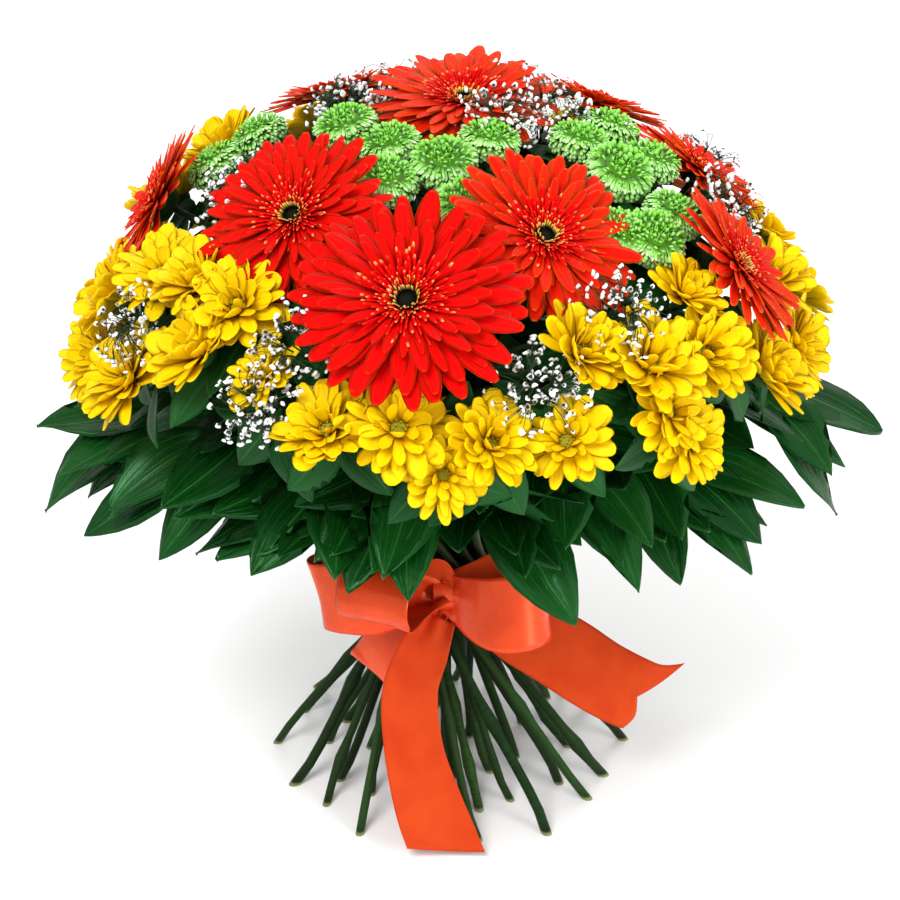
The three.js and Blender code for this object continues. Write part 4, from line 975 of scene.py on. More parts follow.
def button_head(shape, pile, site, seed):
    """One green head: a low core with florets all over it, the inner ones closed over its middle, and a paler
    fringe that lies over its rim."""
    random = np.random.default_rng(seed)
    size = site["radius"]
    site = look_about(site, random, 12)
    pile.add(on_site(site, dome_rings(0.78 * size, 0.36 * size, -0.3 * size, 18, 6)), 0, 0.1)
    rings, fields = studs(
        random, shape.florets, 0.84 * size, 0.5 * size, 118, 0.2 * size, 0.14 * size, 1.9, 0.2)
    pile.add(on_site(site, rings), 0, **fields)
    for layer in ((60, 0.5, 0.5, 0.12, 16, -52, 0.3, 0.0), (60, 0.62, 0.4, 0.12, -12, -50, 0.14, 0.0)):
        add_petals(pile, site, random, 0, layer, BUTTON_FRINGE, row=0.9)
    middle = shape.florets // 3
    rings, fields = studs(random, middle, 0.4 * size, 0.44 * size, 62, 0.15 * size, 0.07 * size, -0.9, -0.6)
    pile.add(on_site(site, rings), 0, **{**fields, "row": 0.0})
    cup = cup_rings(0.72 * size, -0.2 * size, 0.55 * size, SPRAY_FOOT, 9)
    pile.add(on_site(site, cup), 1, *CUP_PLACE, row=CUP_PALE)


def gypsophila_finishes(shape):
    """White flowers with a faint green throat, and the fine green twigs."""
    flower = Finish("gypsophila flowers", Specular_IOR_Level=0.25, Roughness=0.6)
    along, _, _ = flower.fields("petal")
    throat = flower.spread(along, 0.2, 0.75)
    white = flower.finish(flower.mix(throat, shape.twig_colour, shape.flower_colour))
    twig = Finish("gypsophila twigs", Specular_IOR_Level=0.3, Roughness=0.6)
    mottle = twig.noise(twig.place(), 400.0, 2.0)
    tone = twig.mix(twig.spread(mottle, 0.3, 0.7), shape.twig_colour, shaded(shape.twig_colour, 1.8))
    return white, twig.finish(tone)


# Twigs fork at this many hubs in a tuft. Each twig has a radius and bows aside by a length.
TUFT_HUBS = 9
FINE_TWIG, FINE_BOW = 0.00018, 0.004
MAIN_TWIG, MAIN_BOW = 0.0004, 0.003
# A small flower's profile from its base to its throat: radius and height in its own radii, and place along it
FLOWER_PROFILE = np.array([[0.18, -0.7], [0.55, -0.35], [1.0, 0.25], [0.82, 0.55], [0.3, 0.3]])
FLOWER_ALONG = np.array([0.0, 0.5, 1.0, 0.9, 0.55])
FLOWER_CORNERS = 7
FLOWER_LOBES = 3


def gypsophila_tuft(shape, pile, site, seed):
    """A cloud of small flowers in a loose ball: twigs fork twice between the branch and the flowers, which
    are profiles turned about their twigs' ends, with lobes round their rims."""
    random = np.random.default_rng(seed)
    count = shape.flowers
    local = unit(random.normal(0, 1, (count, 3)) * [1, 1, 0.8]) * random.uniform(0.2, 1.15, (count, 1)) ** 0.6
    local = local * [1.0, 1.0, 0.62] + [0, 0, 0.22]
    tips = on_site(site, local * site["radius"])
    hubs = on_site(site, unit(random.normal(0, 1, (TUFT_HUBS, 3)) + [0, 0, 0.6]) * site["radius"] * 0.36)
    nearest = np.argmin(np.linalg.norm(tips[:, None] - hubs[None], axis=-1), axis=1)
    t = np.linspace(0, 1, 4)[None, :, None]
    bow = site["normal"] * np.sin(np.pi * t)
    fine = hubs[nearest][:, None] * (1 - t) + tips[:, None] * t + FINE_BOW * bow
    pile.add(tubes(fine, np.full(fine.shape[:2], FINE_TWIG), 3), 1)
    main = site["base"] * (1 - t) + hubs[:, None] * t - MAIN_BOW * bow
    pile.add(tubes(main, np.full(main.shape[:2], MAIN_TWIG), 4), 1)
    way = unit(fine[:, -1] - fine[:, -2] + random.normal(0, 0.0012, (count, 3)))
    size = shape.flower_radius * random.uniform(0.7, 1.25, (count, 1, 1))
    turn = TAU * np.arange(FLOWER_CORNERS)[None, None] / FLOWER_CORNERS
    outline, level = FLOWER_PROFILE[None, :, None, 0], FLOWER_PROFILE[None, :, None, 1]
    reach = size * outline * (1 + 0.16 * np.cos(FLOWER_LOBES * turn) * (outline > 0.5))
    rings = np.stack([reach * np.cos(turn), reach * np.sin(turn), size * level + 0 * reach], axis=-1)
    rings = np.einsum("csai,cij->csaj", rings, basis(way)) + tips[:, None, None]
    pile.add(rings, 0, FLOWER_ALONG[None, :, None])


def leaf_finish(name, shape, gloss=0.2):
    """A leathery leaf: veins from its base to its tip, a lighter edge and a waxy sheen on its upper face."""
    work = Finish(name, Specular_IOR_Level=0.36, Specular_Tint=(0.4, 1.0, 0.5, 1.0))
    along, across, under = work.fields("petal")
    whim, _, _ = work.fields("kind")
    span = work.math("ABSOLUTE", across)
    vein = work.math("PINGPONG", work.plus(work.times(across, 4.0), 0.5), 0.5)
    line = work.spread(vein, 0.12, 0.0)
    rib = work.spread(span, 0.07, 0.015)
    mottle = work.noise(work.place(), 55.0, 3.0, 0.6)
    fleck = work.noise(work.join(work.times(along, 2.5), work.times(across, 9.0), whim), 3.0, 4.0)
    green = work.mix(work.times(work.spread(mottle, 0.35, 0.75), 0.45), shape.leaf_colour, shape.under_colour)
    green = work.mix(work.times(work.spread(fleck, 0.5, 0.8), 0.35), green, shape.vein_colour)
    green = work.mix(work.times(whim, 0.35), green, shape.under_colour)
    green = work.mix(work.spread(whim, 0.75, 0.2, 0.0, 0.5), green, shaded(shape.leaf_colour, 0.3))
    green = work.mix(work.times(line, 0.3), green, shape.vein_colour)
    green = work.mix(work.times(rib, 0.6), green, shape.vein_colour)
    edge = work.math("MAXIMUM", work.spread(span, 0.93, 1.0), work.spread(along, 0.98, 1.0))
    green = work.mix(work.times(edge, 0.55), green, shape.vein_colour)
    green = work.mix(work.times(under, 0.7), green, shape.under_colour)
    rough = work.plus(work.spread(mottle, 0.3, 0.8, gloss, gloss + 0.14), work.times(under, 0.2))
    height = work.plus(work.times(line, -0.6), work.times(mottle, 1.4))
    return work.finish(green, rough, work.math("SUBTRACT", height, work.times(rib, 0.8)), 0.45, 0.0006)


# The steps of each kind of stem's path above the tie, and the joints of its lower part, along it from its end
GERBERA_STEPS, RUSCUS_STEPS, SPRAY_STEPS, BRANCH_STEPS = 22, 26, 16, 9
RUSCUS_JOINTS = (0.03, 0.062)
SPRAY_JOINTS = (0.024, 0.055, 0.083)
GERBERA_AROUND, SPRAY_AROUND, BRANCH_AROUND = 12, 9, 6
# Seeds of the ruscus stems and of their low leaves
RUSCUS_SEED, LOW_LEAF_SEED = 400, 440
# Low leaves grow from the arch of a stem, which starts at this point of its path
ARCH_START = 17
# Length and width of a spray's own leaves, up its stem and under its blooms
STEM_LEAF = (0.05, 0.025)
BLOOM_LEAF = (0.04, 0.021)
LEAF_STATIONS = np.array([0.0, 0.05, 0.13, 0.25, 0.39, 0.53, 0.67, 0.8, 0.9, 0.96, 0.997])


def blade_rings(random, roots, ways, faces, lengths, widths, droop, thick=0.0006):
    """Leaves as thin closed blades: the middle line droops as the square of its length, the half width
    follows pointed, the blade is folded along its middle and waves gently along its edges."""
    count = len(roots)
    across, upper = lens_section(7, 3)
    side = unit(np.cross(faces, ways))
    out = np.cross(side, faces)
    t = LEAF_STATIONS[None, :, None]
    long, wide = lengths[:, None, None], widths[:, None, None]

    def vary(low, high):
        return random.uniform(low, high, (count, 1, 1))

    half = 0.5 * wide * pointed(t)
    fold = vary(0.08, 0.3) * half * np.abs(across) - vary(0.0, 0.06) * wide * t
    wave = vary(0.02, 0.07) * wide * across ** 2 * np.sin(vary(5, 9) * t + vary(0, 6) + across)
    sag = (droop + vary(-0.06, 0.06)) * long * t ** 2
    twist = np.radians(vary(-22, 22)) * t
    sway = vary(-0.05, 0.05) * long * np.sin(np.pi * t)
    aside = half * across
    lift = fold + wave + 0.5 * thick * upper
    moved = (aside * np.cos(twist) - lift * np.sin(twist) + sway)[..., None]
    risen = (aside * np.sin(twist) + lift * np.cos(twist) - sag)[..., None]
    rings = roots[:, None, None] + out[:, None, None] * (long * t)[..., None]
    rings = rings - side[:, None, None] * moved + faces[:, None, None] * risen
    fields = {"along": t, "across": across, "under": (1 - upper) / 2, "whim": vary(0, 1)}
    return rings, fields


def leaf_ways(along, sweep, dip, roll):
    """The ways and faces of leaves on a stem: turned aside by sweep, down by dip and about themselves."""
    level = unit(UP - along * along[:, 2:])
    way = turned(along, level, sweep)
    hinge = unit(np.cross(way, level))
    way = turned(way, hinge, -dip)
    return way, turned(unit(np.cross(hinge, way)), way, roll)


def ruscus_path(plant):
    """The arch of one ruscus stem, from its cut end out over the collar."""
    tier = RUSCUS_TIERS[plant.tier]
    aside = np.sin(np.radians(plant.azimuth)) / tier["reach"]
    ahead = np.cos(np.radians(plant.azimuth))
    reach = 1 / np.hypot(aside, ahead / (tier["front"] if ahead > 0 else tier["back"]))
    tip = around_axis(plant.azimuth, reach * MM, tier["height"] * MM)
    outward = unit(around_axis(plant.azimuth, 1.0, tier["slope"]))
    return plant.rise(tip, outward, RUSCUS_STEPS, tier["pull"])


def low_leaf_roots(shape, paths):
    """For each low leaf, the stem that carries it and the point it grows from: the one that puts its tip
    about a leaf's length away and lets it point away from the stem's foot."""
    tips = np.array([tip for tip, _ in LOW_LEAVES], float) * MM
    upper = paths[:, ARCH_START:-1]
    onward = unit(paths[:, ARCH_START + 1:] - upper)
    spans = tips[:, None, None] - upper[None]
    lengths = np.linalg.norm(spans, axis=-1)
    agreement = np.sum(spans * onward, axis=-1) / lengths
    cost = np.abs(lengths - shape.leaf_length) + 0.03 * (1 - agreement)
    best = np.argmin(cost.reshape(len(tips), -1), axis=1)
    stems, places = np.unravel_index(best, upper.shape[:2])
    return stems, upper[stems, places], tips


def low_leaves(pile, mine, roots, tips, random):
    """The low leaves of one stem. They turn their upper faces outwards, to where they are seen from."""
    ways = unit(tips[mine] - roots[mine])
    outward = unit(tips[mine] * [1, 1, 0] + [0, -0.12, 0])
    faces = UP + 0.9 * outward + random.uniform(-0.2, 0.2, (len(ways), 3))
    faces = unit(faces - ways * np.sum(faces * ways, axis=1, keepdims=True))
    lengths = np.linalg.norm(tips[mine] - roots[mine], axis=1)
    widths = np.array([width for _, width in LOW_LEAVES])[mine] * MM
    rings, fields = blade_rings(random, roots[mine], ways, faces, lengths, widths, 0.04)
    pile.add(rings, 0, **fields)


def ruscus_stem(bouquet, shape, plant, path, seed):
    """One ruscus stem: it arches out from the tie, with leaves to either side in turn and one at its end."""
    random = np.random.default_rng(seed)
    tier = RUSCUS_TIERS[plant.tier]
    pile = Pile()
    rings, _ = stem_rings(bouquet, path, SPRAY_AROUND, RUSCUS_JOINTS)
    pile.add_stalk(rings, 1, 8, random, tier["pale"])
    upper = path[LOW_POINTS:]
    k = np.arange(shape.leaves)
    place = tier["start"] + (0.985 - tier["start"]) * k / (shape.leaves - 1)
    last = k == shape.leaves - 1
    side = np.where((k + plant.number) % 2, 1.0, -1.0)
    ahead = np.cos(np.radians(plant.azimuth))
    roots = smooth_line(upper, place)
    along = unit(smooth_line(upper, place + 0.01) - smooth_line(upper, place - 0.01))
    sweep = np.where(last, 0.0, -side * (50 - 10 * place)) + random.uniform(-6, 6, len(k))
    roll = np.where(last, 0.0, -12 * side) + random.uniform(-14, 14, len(k))
    way, face = leaf_ways(along, sweep, tier["dip"] + random.uniform(-6, 10, len(k)), roll)
    face = face + np.array([0, -0.55, 0]) * max(0.0, ahead + 0.45)
    face = unit(face - way * np.sum(face * way, axis=1, keepdims=True))
    size = (0.82 + 0.18 * np.sin(np.pi * (0.25 + 0.6 * place)) ** 2) * random.uniform(0.93, 1.06, len(k))
    lengths, widths = shape.leaf_length * size, shape.leaf_width * size
    rings, fields = blade_rings(random, roots, way, face, lengths, widths, 0.16)
    pile.add(rings, 0, **fields)
    return pile


def spray_stem(bouquet, pile, plant, finish, radius, random, pale):
    """A spray's stem up to its fork and its branches, which leave the stem one below the other."""
    fork, way, bases = plant.fork()
    path = plant.rise(fork, way, SPRAY_STEPS)
    rings, _ = stem_rings(bouquet, path, SPRAY_AROUND, SPRAY_JOINTS)
    pile.add_stalk(rings, finish, 6, random, pale)
    back = unit(path[-2] - path[-1])
    for i, (base, site) in enumerate(zip(bases, plant.sites)):
        start = fork + back * (i + 0.3) * BRANCH_SPACING
        branch = bend(start, way, base, site["normal"], np.linspace(0, 1, BRANCH_STEPS))
        rings = tubes(branch[None], np.full((1, BRANCH_STEPS), radius), BRANCH_AROUND)
        pile.add_stalk(rings, finish, 3, random, 0.3)
    return path, bases


def spray_leaves(pile, path, plant, bases, finish, random, count, each):
    """A spray's own leaves: some turn round the upper part of its stem, the others stand under its blooms."""
    upper = path[LOW_POINTS:]
    k = np.arange(count)
    place = 0.35 + 0.62 * k / (count - 1)
    roots = smooth_line(upper, place)
    along = unit(smooth_line(upper, place + 0.02) - smooth_line(upper, place - 0.02))
    sweep = np.where(k % 2, 1.0, -1.0) * random.uniform(40, 84, count)
    way, face = leaf_ways(along, sweep, random.uniform(-16, 14, count), random.uniform(-20, 20, count))
    size = random.uniform(0.85, 1.15, count)
    rings, fields = blade_rings(random, roots, way, face, STEM_LEAF[0] * size, STEM_LEAF[1] * size, 0.12)
    pile.add(rings, finish, **fields)
    normals = np.repeat([site["normal"] for site in plant.sites], each, axis=0)
    turn = TAU * np.tile(np.arange(each), len(bases)) / each + random.uniform(0, 2, len(normals))
    level = basis(normals)
    out = np.cos(turn)[:, None] * level[:, 0] + np.sin(turn)[:, None] * level[:, 1]
    roots = np.repeat(bases, each, axis=0) - normals * random.uniform(0.004, 0.016, (len(normals), 1))
    way = unit(out + random.uniform(-0.1, 0.4, (len(normals), 1)) * normals)
    face = unit(normals - way * np.sum(normals * way, axis=1, keepdims=True))
    size = random.uniform(0.8, 1.1, len(normals))
    rings, fields = blade_rings(random, roots, way, face, BLOOM_LEAF[0] * size, BLOOM_LEAF[1] * size, 0.15)
    pile.add(rings, finish, **fields)


def spray_finishes(name, bouquet, colour, ruscus):
    """The finishes of a spray's stems and of its own leaves, which are the last two of its piece."""
    return stem_finish(f"{name} stems", bouquet, colour), leaf_finish(f"{name} leaves", ruscus, 0.45)


def add_sprays(context, kind, slot, finishes, bloom, shape, spray):
    """Adds every spray of a kind as one piece: its stem and branches, its blooms and its own leaves."""
    bouquet = context.scene.bouquet_shape
    stems, leaves = len(finishes) - 2, len(finishes) - 1
    for plant in lay_out(bouquet):
        if plant.kind != kind:
            continue
        seed = spray["seed"] + plant.number
        random = np.random.default_rng(seed)
        pile = Pile()
        path, bases = spray_stem(bouquet, pile, plant, stems, spray["branch"], random, spray["pale"])
        for i, site in enumerate(plant.sites):
            bloom(shape, pile, {**site, "base": bases[i]}, 10 * seed + i)
        spray_leaves(pile, path, plant, bases, leaves, random, spray["leaves"], spray["under_each"])
        name = f"{kind}_{plant.number}"
        add_piece(name, pile.mesh(name, finishes), slot, f"{kind}_spray_{plant.number}")


def shapes_of(context, name):
    """The settings that a kind of spray is made from: the bouquet's, its leaves' and its own."""
    return context.scene.bouquet_shape, context.scene.ruscus_shape, getattr(context.scene, name)


def satin_finish(name, shape, colour, level, rough):
    """Satin: a fine grain across the ribbon and clouds of deeper red. Its shiny face has a warm sheen."""
    work = Finish(name, Specular_IOR_Level=level, Anisotropic=0.5, Specular_Tint=(1.0, 0.42, 0.22, 1.0))
    along, across, _ = work.fields("cloth")
    drawn = work.join(work.times(along, 2600.0), work.times(across, 130.0), 0.0)
    grain = work.noise(drawn, 1.0, 2.0)
    cloud = work.noise(work.join(work.times(along, 45.0), work.times(across, 45.0), 0.0), 1.0, 2.0)
    tone = work.mix(work.times(work.spread(cloud, 0.35, 0.75), 0.3), colour, shape.deep_colour)
    tone = work.mix(work.times(work.spread(grain, 0.45, 0.7), 0.1), tone, shape.deep_colour)
    return work.finish(tone, work.spread(grain, 0.2, 0.8, rough, rough + 0.08), grain, 0.06, 0.0002)


# Pleats across a gathered ribbon, the share of the widest place up to which it is pleated, and the share of a
# tail's length after which its end is shaped
PLEATS = 2.0
PLEATED_SHARE = 0.66
END_START = 0.72


def strip_grid(line, flat_width, counts, curl=0.0, slant=0.0, notch=0.0, lobe=0.0, hook=0.0):
    """A strip of ribbon along a line, which is its points, its widths and the ways of its width. Where it is
    narrow it is pleated by a sine, so that its width along the pleats stays about the flat one. Curl bends
    its edges to one side, slant makes one edge longer than the other, notch cuts a V into its end, lobe
    rounds the shorter corner and hook turns the longer one up."""
    points, widths, ways = line
    t = np.linspace(0, 1, counts[0])
    s = np.linspace(-1, 1, counts[1])[None, :]
    centre = smooth_line(np.asarray(points, float) * MM, t)
    width = smooth_line(np.asarray(widths, float)[:, None] * MM, t)
    way = smooth_line(np.asarray(ways, float), t)
    along = unit(np.gradient(centre, axis=0))
    way = unit(way - along * np.sum(way * along, axis=1, keepdims=True))
    face = np.cross(along, way)
    slack = np.sqrt(np.clip((PLEATED_SHARE * width.max()) ** 2 - width ** 2, 0, None)) / (4 * PLEATS)
    ripple = slack * np.sin(np.pi * PLEATS * s + 0.6) + curl * width * (s ** 2 - 0.33)
    grid = centre[:, None] + way[:, None] * (0.5 * width * s)[..., None] + face[:, None] * ripple[..., None]
    end = np.clip((t - END_START) / (1 - END_START), 0, 1)[:, None]
    past = slant * s - notch * (1 - np.abs(s)) - lobe * np.clip(-(s + 0.4) / 0.6, 0, 1) ** 2
    grid = grid + along[:, None] * (end * past)[..., None]
    grid = grid + way[:, None] * (hook * end ** 4 * np.clip(s, 0, 1) ** 2)[..., None]
    cloth = np.stack(np.broadcast_arrays(distances(centre)[:, None], 0.5 * flat_width * s, 0.0), axis=-1)
    return grid, cloth


def outwards(grid, cloth):
    """The same sheet, turned over if its faces look towards its own middle."""
    faces = np.cross(grid[:-1, 1:] - grid[:-1, :-1], grid[1:, :-1] - grid[:-1, :-1])
    if np.sum(faces * (grid[:-1, :-1] - grid.mean(axis=(0, 1)))) < 0:
        return grid[:, ::-1], cloth[:, ::-1]
    return grid, cloth


def sheet_mesh(name, grids, materials):
    """One mesh of several grids of points, each a sheet of quads with its place on the cloth."""
    points, cloths, quads, count = [], [], [], 0
    for grid, cloth in grids:
        rows, columns = grid.shape[:2]
        index = count + np.arange(rows * columns).reshape(rows, columns)
        corners = [index[:-1, :-1], index[:-1, 1:], index[1:, 1:], index[1:, :-1]]
        quads.append(np.stack(corners, axis=-1).reshape(-1, 4))
        points.append(grid.reshape(-1, 3) + TIE_AXIS)
        cloths.append(np.broadcast_to(cloth, grid.shape).reshape(-1, 3))
        count += rows * columns
    made = bpy.data.meshes.new(name)
    made.from_pydata(np.concatenate(points), [], np.concatenate(quads))
    for material in materials:
        made.materials.append(material)
    made.shade_smooth()
    field = made.attributes.new("cloth", "FLOAT_VECTOR", "POINT")
    field.data.foreach_set("vector", np.concatenate(cloths).ravel())
    return made


def thicken(piece, thickness):
    """Gives a sheet its thickness. Its other face has the second finish."""
    wall = piece.modifiers.new("thickness", "SOLIDIFY")
    wall.thickness = thickness
    wall.offset = 0.0
    wall.material_offset = 1


def band_grid(shape, columns=13, steps=96):
    """The band round the stems: a ring drawn in at its middle, with creases that run round it."""
    turn = TAU * np.arange(steps + 1)[:, None] / steps
    s = np.linspace(-1, 1, columns)[None, :]
    crease = 0.0004 * np.cos(9 * s + 2 * np.sin(2 * turn)) * (1 - s ** 2)
    radius = shape.band_radius + 0.0005 + shape.band_flare * np.abs(s) + crease
    height = bpy.context.scene.bouquet_shape.tie_height + 0.5 * shape.band_width * s + 0 * turn
    grid = np.stack([radius * np.sin(turn), -radius * np.cos(turn), height], axis=-1)
    around = turn * shape.band_radius
    return grid, np.stack(np.broadcast_arrays(around, 0.5 * shape.width * s, 0.0), axis=-1)


class BOUQUET_OT_gerberas(bpy.types.Operator):
    """Adds the red gerberas, each as its bloom and its stem"""

    bl_idname = "bouquet.gerberas"
    bl_label = "Add Gerberas"

    def execute(self, context):
        bouquet, shape = context.scene.bouquet_shape, context.scene.gerbera_shape
        green = stem_finish("gerbera stems", bouquet, bouquet.stem_colour)
        finishes = [gerbera_petal_finish(shape), gerbera_floret_finish(shape)]
        finishes += [*gerbera_eye_finishes(shape), green]
        for plant in lay_out(bouquet):
            if plant.kind != "gerbera":
                continue
            name, site = f"gerbera_{plant.number}", plant.sites[0]
            bloom = gerbera_bloom(shape, site, plant.number, GERBERA_GLOW[plant.number - 1])
            add_piece(f"{name}_flower", bloom.mesh(name, finishes), "gerbera_petals", f"{name}_bloom")
            base = site["point"] - site["normal"] * BASE_DEPTH["gerbera"]
            path = plant.rise(base, site["normal"], GERBERA_STEPS)
            rings, along = stem_rings(bouquet, path, GERBERA_AROUND)
            across = np.linspace(-1, 1, GERBERA_AROUND)
            stalk = Pile()
            stalk.add(rings, 0, (along * 40)[None, :, None], across, whim=plant.number, row=0.15)
            add_piece(f"{name}_stalk", stalk.mesh(f"{name}_stalk", [green]), "gerbera_stem", f"{name}_stem")
        return {"FINISHED"}


class BOUQUET_OT_chrysanthemums(bpy.types.Operator):
    """Adds the sprays of yellow chrysanthemums"""

    bl_idname = "bouquet.chrysanthemums"
    bl_label = "Add Chrysanthemums"

    def execute(self, context):
        bouquet, ruscus, shape = shapes_of(context, "chrysanthemum_shape")
        finishes = [chrysanthemum_petal_finish(shape), chrysanthemum_disc_finish(shape)]
        finishes += spray_finishes("chrysanthemum", bouquet, bouquet.stem_colour, ruscus)
        add_sprays(context, "chrysanthemum", "chrysanthemum", finishes, chrysanthemum_bloom, shape,
                   {"seed": 100, "branch": 0.0015, "pale": 0.15, "leaves": 8, "under_each": 3})
        return {"FINISHED"}


class BOUQUET_OT_buttons(bpy.types.Operator):
    """Adds the sprays of green button chrysanthemums"""

    bl_idname = "bouquet.buttons"
    bl_label = "Add Button Chrysanthemums"

    def execute(self, context):
        bouquet, ruscus, shape = shapes_of(context, "button_shape")
        finishes = [button_finish(shape), *spray_finishes("button", bouquet, bouquet.stem_colour, ruscus)]
        add_sprays(context, "button", "button_chrysanthemum", finishes, button_head, shape,
                   {"seed": 200, "branch": 0.0015, "pale": 0.25, "leaves": 6, "under_each": 4})
        return {"FINISHED"}


class BOUQUET_OT_gypsophila(bpy.types.Operator):
    """Adds the sprays of gypsophila"""

    bl_idname = "bouquet.gypsophila"
    bl_label = "Add Gypsophila"

    def execute(self, context):
        bouquet, ruscus, shape = shapes_of(context, "gypsophila_shape")
        finishes = [*gypsophila_finishes(shape)]
        finishes += spray_finishes("gypsophila", bouquet, bouquet.young_colour, ruscus)
        add_sprays(context, "gypsophila", "gypsophila", finishes, gypsophila_tuft, shape,
                   {"seed": 300, "branch": 0.0011, "pale": 0.0, "leaves": 6, "under_each": 4})
        return {"FINISHED"}


class BOUQUET_OT_ruscus(bpy.types.Operator):
    """Adds the collar of ruscus"""

    bl_idname = "bouquet.ruscus"
    bl_label = "Add Ruscus"

    def execute(self, context):
        bouquet, shape = context.scene.bouquet_shape, context.scene.ruscus_shape
        green = stem_finish("ruscus stems", bouquet, bouquet.stem_colour)
        finishes = [leaf_finish("ruscus leaves", shape), green]
        plants = [plant for plant in lay_out(bouquet) if plant.kind == "ruscus"]
        paths = np.array([ruscus_path(plant) for plant in plants])
        stems, roots, tips = low_leaf_roots(shape, paths)
        for plant in plants:
            path = paths[plant.number - 1]
            pile = ruscus_stem(bouquet, shape, plant, path, RUSCUS_SEED + plant.number)
            mine = stems == plant.number - 1
            if mine.any():
                random = np.random.default_rng(LOW_LEAF_SEED + plant.number)
                low_leaves(pile, mine, roots, tips, random)
            name = f"ruscus_{plant.number}"
            add_piece(name, pile.mesh(name, finishes), "ruscus_leaf", f"ruscus_stem_{plant.number}")
        return {"FINISHED"}


class BOUQUET_OT_ribbon(bpy.types.Operator):
    """Adds the satin ribbon: its band, its bow and its two tails"""

    bl_idname = "bouquet.ribbon"
    bl_label = "Add Ribbon"

    def execute(self, context):
        shape = context.scene.ribbon_shape
        # The shiny face's colour carries a painted light, lighter than the dull face's.
        satin = [satin_finish("coral satin", shape, shape.satin_and_painted_light_colour, 1.0, 0.22)]
        satin.append(satin_finish("coral satin back", shape, shape.dull_colour, 0.2, 0.5))
        band, inside = [band_grid(shape)], ["gerbera_1_stalk"]
        self.add("ribbon_round", band, satin, "ribbon_band", "stretched", inside, shape.band_width)
        strips = [self.knot(shape), *(strip_grid(loop, shape.width, LOOP_GRID) for loop in BOW_LOOPS)]
        bow = [outwards(*strip) for strip in strips]
        self.add("bow", bow, satin, "ribbon_bow", "gathered", ["ribbon_round"], shape.width)
        front = strip_grid(FRONT_TAIL, shape.width, FRONT_GRID, **FRONT_END)
        self.add("tail_front", [front], satin, "ribbon_tail_front", "hung", ["bow"], shape.width)
        right = strip_grid(RIGHT_TAIL, shape.width, RIGHT_GRID, **RIGHT_END)
        self.add("tail_right", [right], satin, "ribbon_tail_right", "hung", ["bow"], shape.width)
        return {"FINISHED"}

    def add(self, name, grids, satin, node, held, rests_on, width):
        piece = add_piece(name, sheet_mesh(name, grids, satin), "satin_ribbon", node)
        thicken(piece, bpy.context.scene.ribbon_shape.thickness)

    def knot(self, shape):
        """A turn of ribbon round the gathered middle of the bow."""
        count = 13
        turn = TAU * np.linspace(0, 1, count)
        y, z = -0.9 * KNOT_DEPTH * np.cos(turn), 0.9 * KNOT_HEIGHT * np.sin(turn)
        points = np.array(KNOT_PLACE) + np.stack([0 * turn, y, z], axis=-1)
        line = points, np.full(count, KNOT_WRAP), np.tile([1.0, 0, 0], (count, 1))
        return strip_grid(line, shape.width, KNOT_GRID)


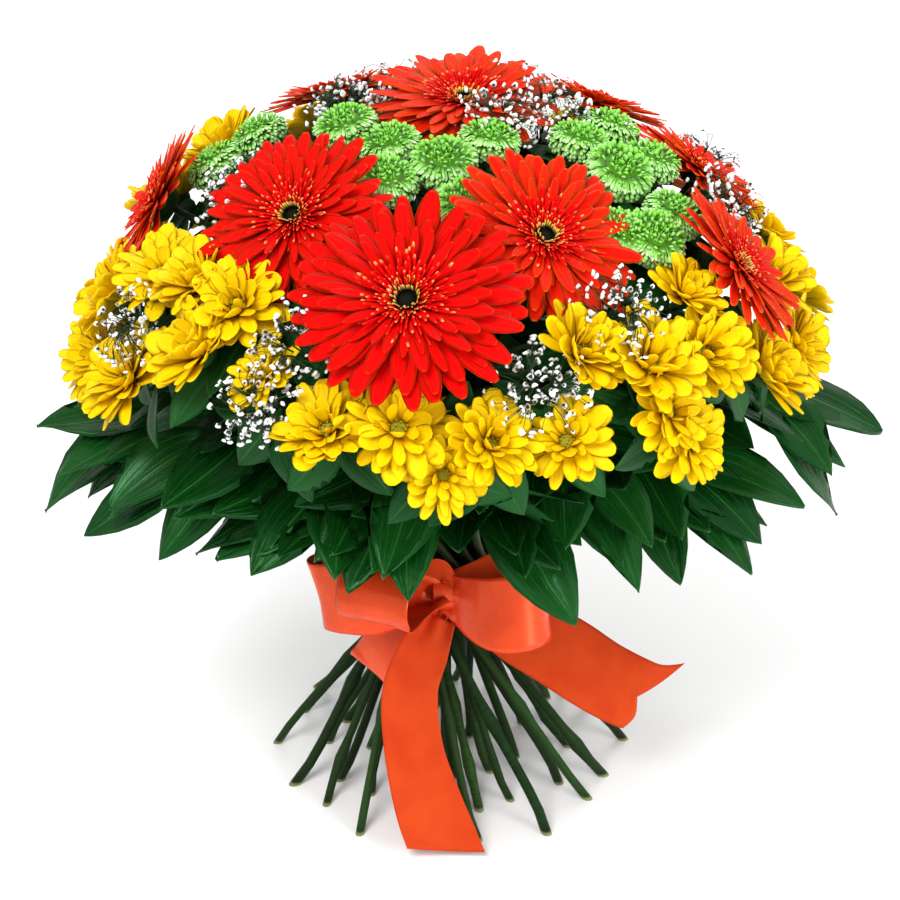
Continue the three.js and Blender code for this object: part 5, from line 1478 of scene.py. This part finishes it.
class BOUQUET_OT_stage(bpy.types.Operator):
    """Adds the floor, the lights and the camera"""

    bl_idname = "bouquet.stage"
    bl_label = "Add Stage"

    def execute(self, context):
        shape = context.scene.stage_shape
        self.floor(shape)
        middle = TIE_AXIS + UP * shape.aim_height
        for name, place, size, power in LIGHTS:
            self.light(name, middle + np.array(place), middle, size, power)
        world = bpy.data.worlds.new("studio")
        world.use_nodes = True
        sky = world.node_tree.nodes["Background"].inputs
        sky["Color"].default_value = (1, 1, 1, 1)
        sky["Strength"].default_value = SKY_STRENGTH
        context.scene.world = world
        context.scene.view_settings.view_transform = "Standard"
        self.camera(context, shape, middle)
        return {"FINISHED"}

    def floor(self, shape):
        """A wide square of pale floor, a hair below the cut ends."""
        half, gap = 6.0, 0.0002
        corners = np.array([[-half, -half, 0], [half, -half, 0], [half, half, 0], [-half, half, 0]])
        mesh = bpy.data.meshes.new("floor")
        mesh.from_pydata(corners - UP * gap, [], [(0, 1, 2, 3)])
        work = Finish("pale floor", Specular_IOR_Level=0.1, Roughness=0.9)
        soft = work.noise(work.place(), 3.0, 2.0)
        tone = work.mix(work.spread(soft, 0.3, 0.7), shape.floor_colour, shaded(shape.floor_colour, 0.985))
        mesh.materials.append(work.finish(tone))
        floor = bpy.data.objects.new("floor", mesh)
        bpy.context.scene.collection.objects.link(floor)

    def light(self, name, place, aim, size, power):
        data = bpy.data.lights.new(name, "AREA")
        data.shape = "DISK"
        data.size = size
        data.energy = power
        lamp = bpy.data.objects.new(name, data)
        lamp.location = place
        lamp.rotation_euler = Vector(aim - place).to_track_quat("-Z", "Y").to_euler()
        bpy.context.scene.collection.objects.link(lamp)

    def camera(self, context, shape, middle):
        back = np.array([0.0, -np.cos(shape.elevation), np.sin(shape.elevation)])
        data = bpy.data.cameras.new("camera")
        data.sensor_width = 36.0
        data.lens = data.sensor_width * shape.distance / shape.view_width
        data.clip_end = 50.0
        camera = bpy.data.objects.new("camera", data)
        camera.location = middle + back * shape.distance
        camera.rotation_euler = Vector(-back).to_track_quat("-Z", "Y").to_euler()
        context.scene.collection.objects.link(camera)
        context.scene.camera = camera


class BOUQUET_PT_panel(bpy.types.Panel):
    """Lists the parts of the bouquet and their settings"""

    bl_idname = "BOUQUET_PT_panel"
    bl_label = "Bouquet"
    bl_space_type = "VIEW_3D"
    bl_region_type = "UI"
    bl_category = "Bouquet"

    def draw(self, context):
        for name, group, operator in PARTS:
            box = self.layout.box()
            settings = getattr(context.scene, name)
            for key in group.__annotations__:
                box.prop(settings, key)
            if operator is not None:
                box.operator(operator.bl_idname)


# Each group of settings, its name on the scene, and the operator that uses it
PARTS = (
    ("bouquet_shape", BouquetShape, None),
    ("gerbera_shape", GerberaShape, BOUQUET_OT_gerberas),
    ("chrysanthemum_shape", ChrysanthemumShape, BOUQUET_OT_chrysanthemums),
    ("button_shape", ButtonShape, BOUQUET_OT_buttons),
    ("gypsophila_shape", GypsophilaShape, BOUQUET_OT_gypsophila),
    ("ruscus_shape", RuscusShape, BOUQUET_OT_ruscus),
    ("ribbon_shape", RibbonShape, BOUQUET_OT_ribbon),
    ("stage_shape", StageShape, BOUQUET_OT_stage),
)


def register():
    for name, group, operator in PARTS:
        bpy.utils.register_class(group)
        setattr(bpy.types.Scene, name, PointerProperty(type=group))
        if operator is not None:
            bpy.utils.register_class(operator)
    bpy.utils.register_class(BOUQUET_PT_panel)


def unregister():
    bpy.utils.unregister_class(BOUQUET_PT_panel)
    for name, group, operator in reversed(PARTS):
        if operator is not None:
            bpy.utils.unregister_class(operator)
        delattr(bpy.types.Scene, name)
        bpy.utils.unregister_class(group)


def main():
    register()
    bpy.ops.bouquet.stage()
    bpy.ops.bouquet.gerberas()
    bpy.ops.bouquet.chrysanthemums()
    bpy.ops.bouquet.buttons()
    bpy.ops.bouquet.gypsophila()
    bpy.ops.bouquet.ruscus()
    bpy.ops.bouquet.ribbon()
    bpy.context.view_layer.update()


if __name__ == "__main__":
    main()
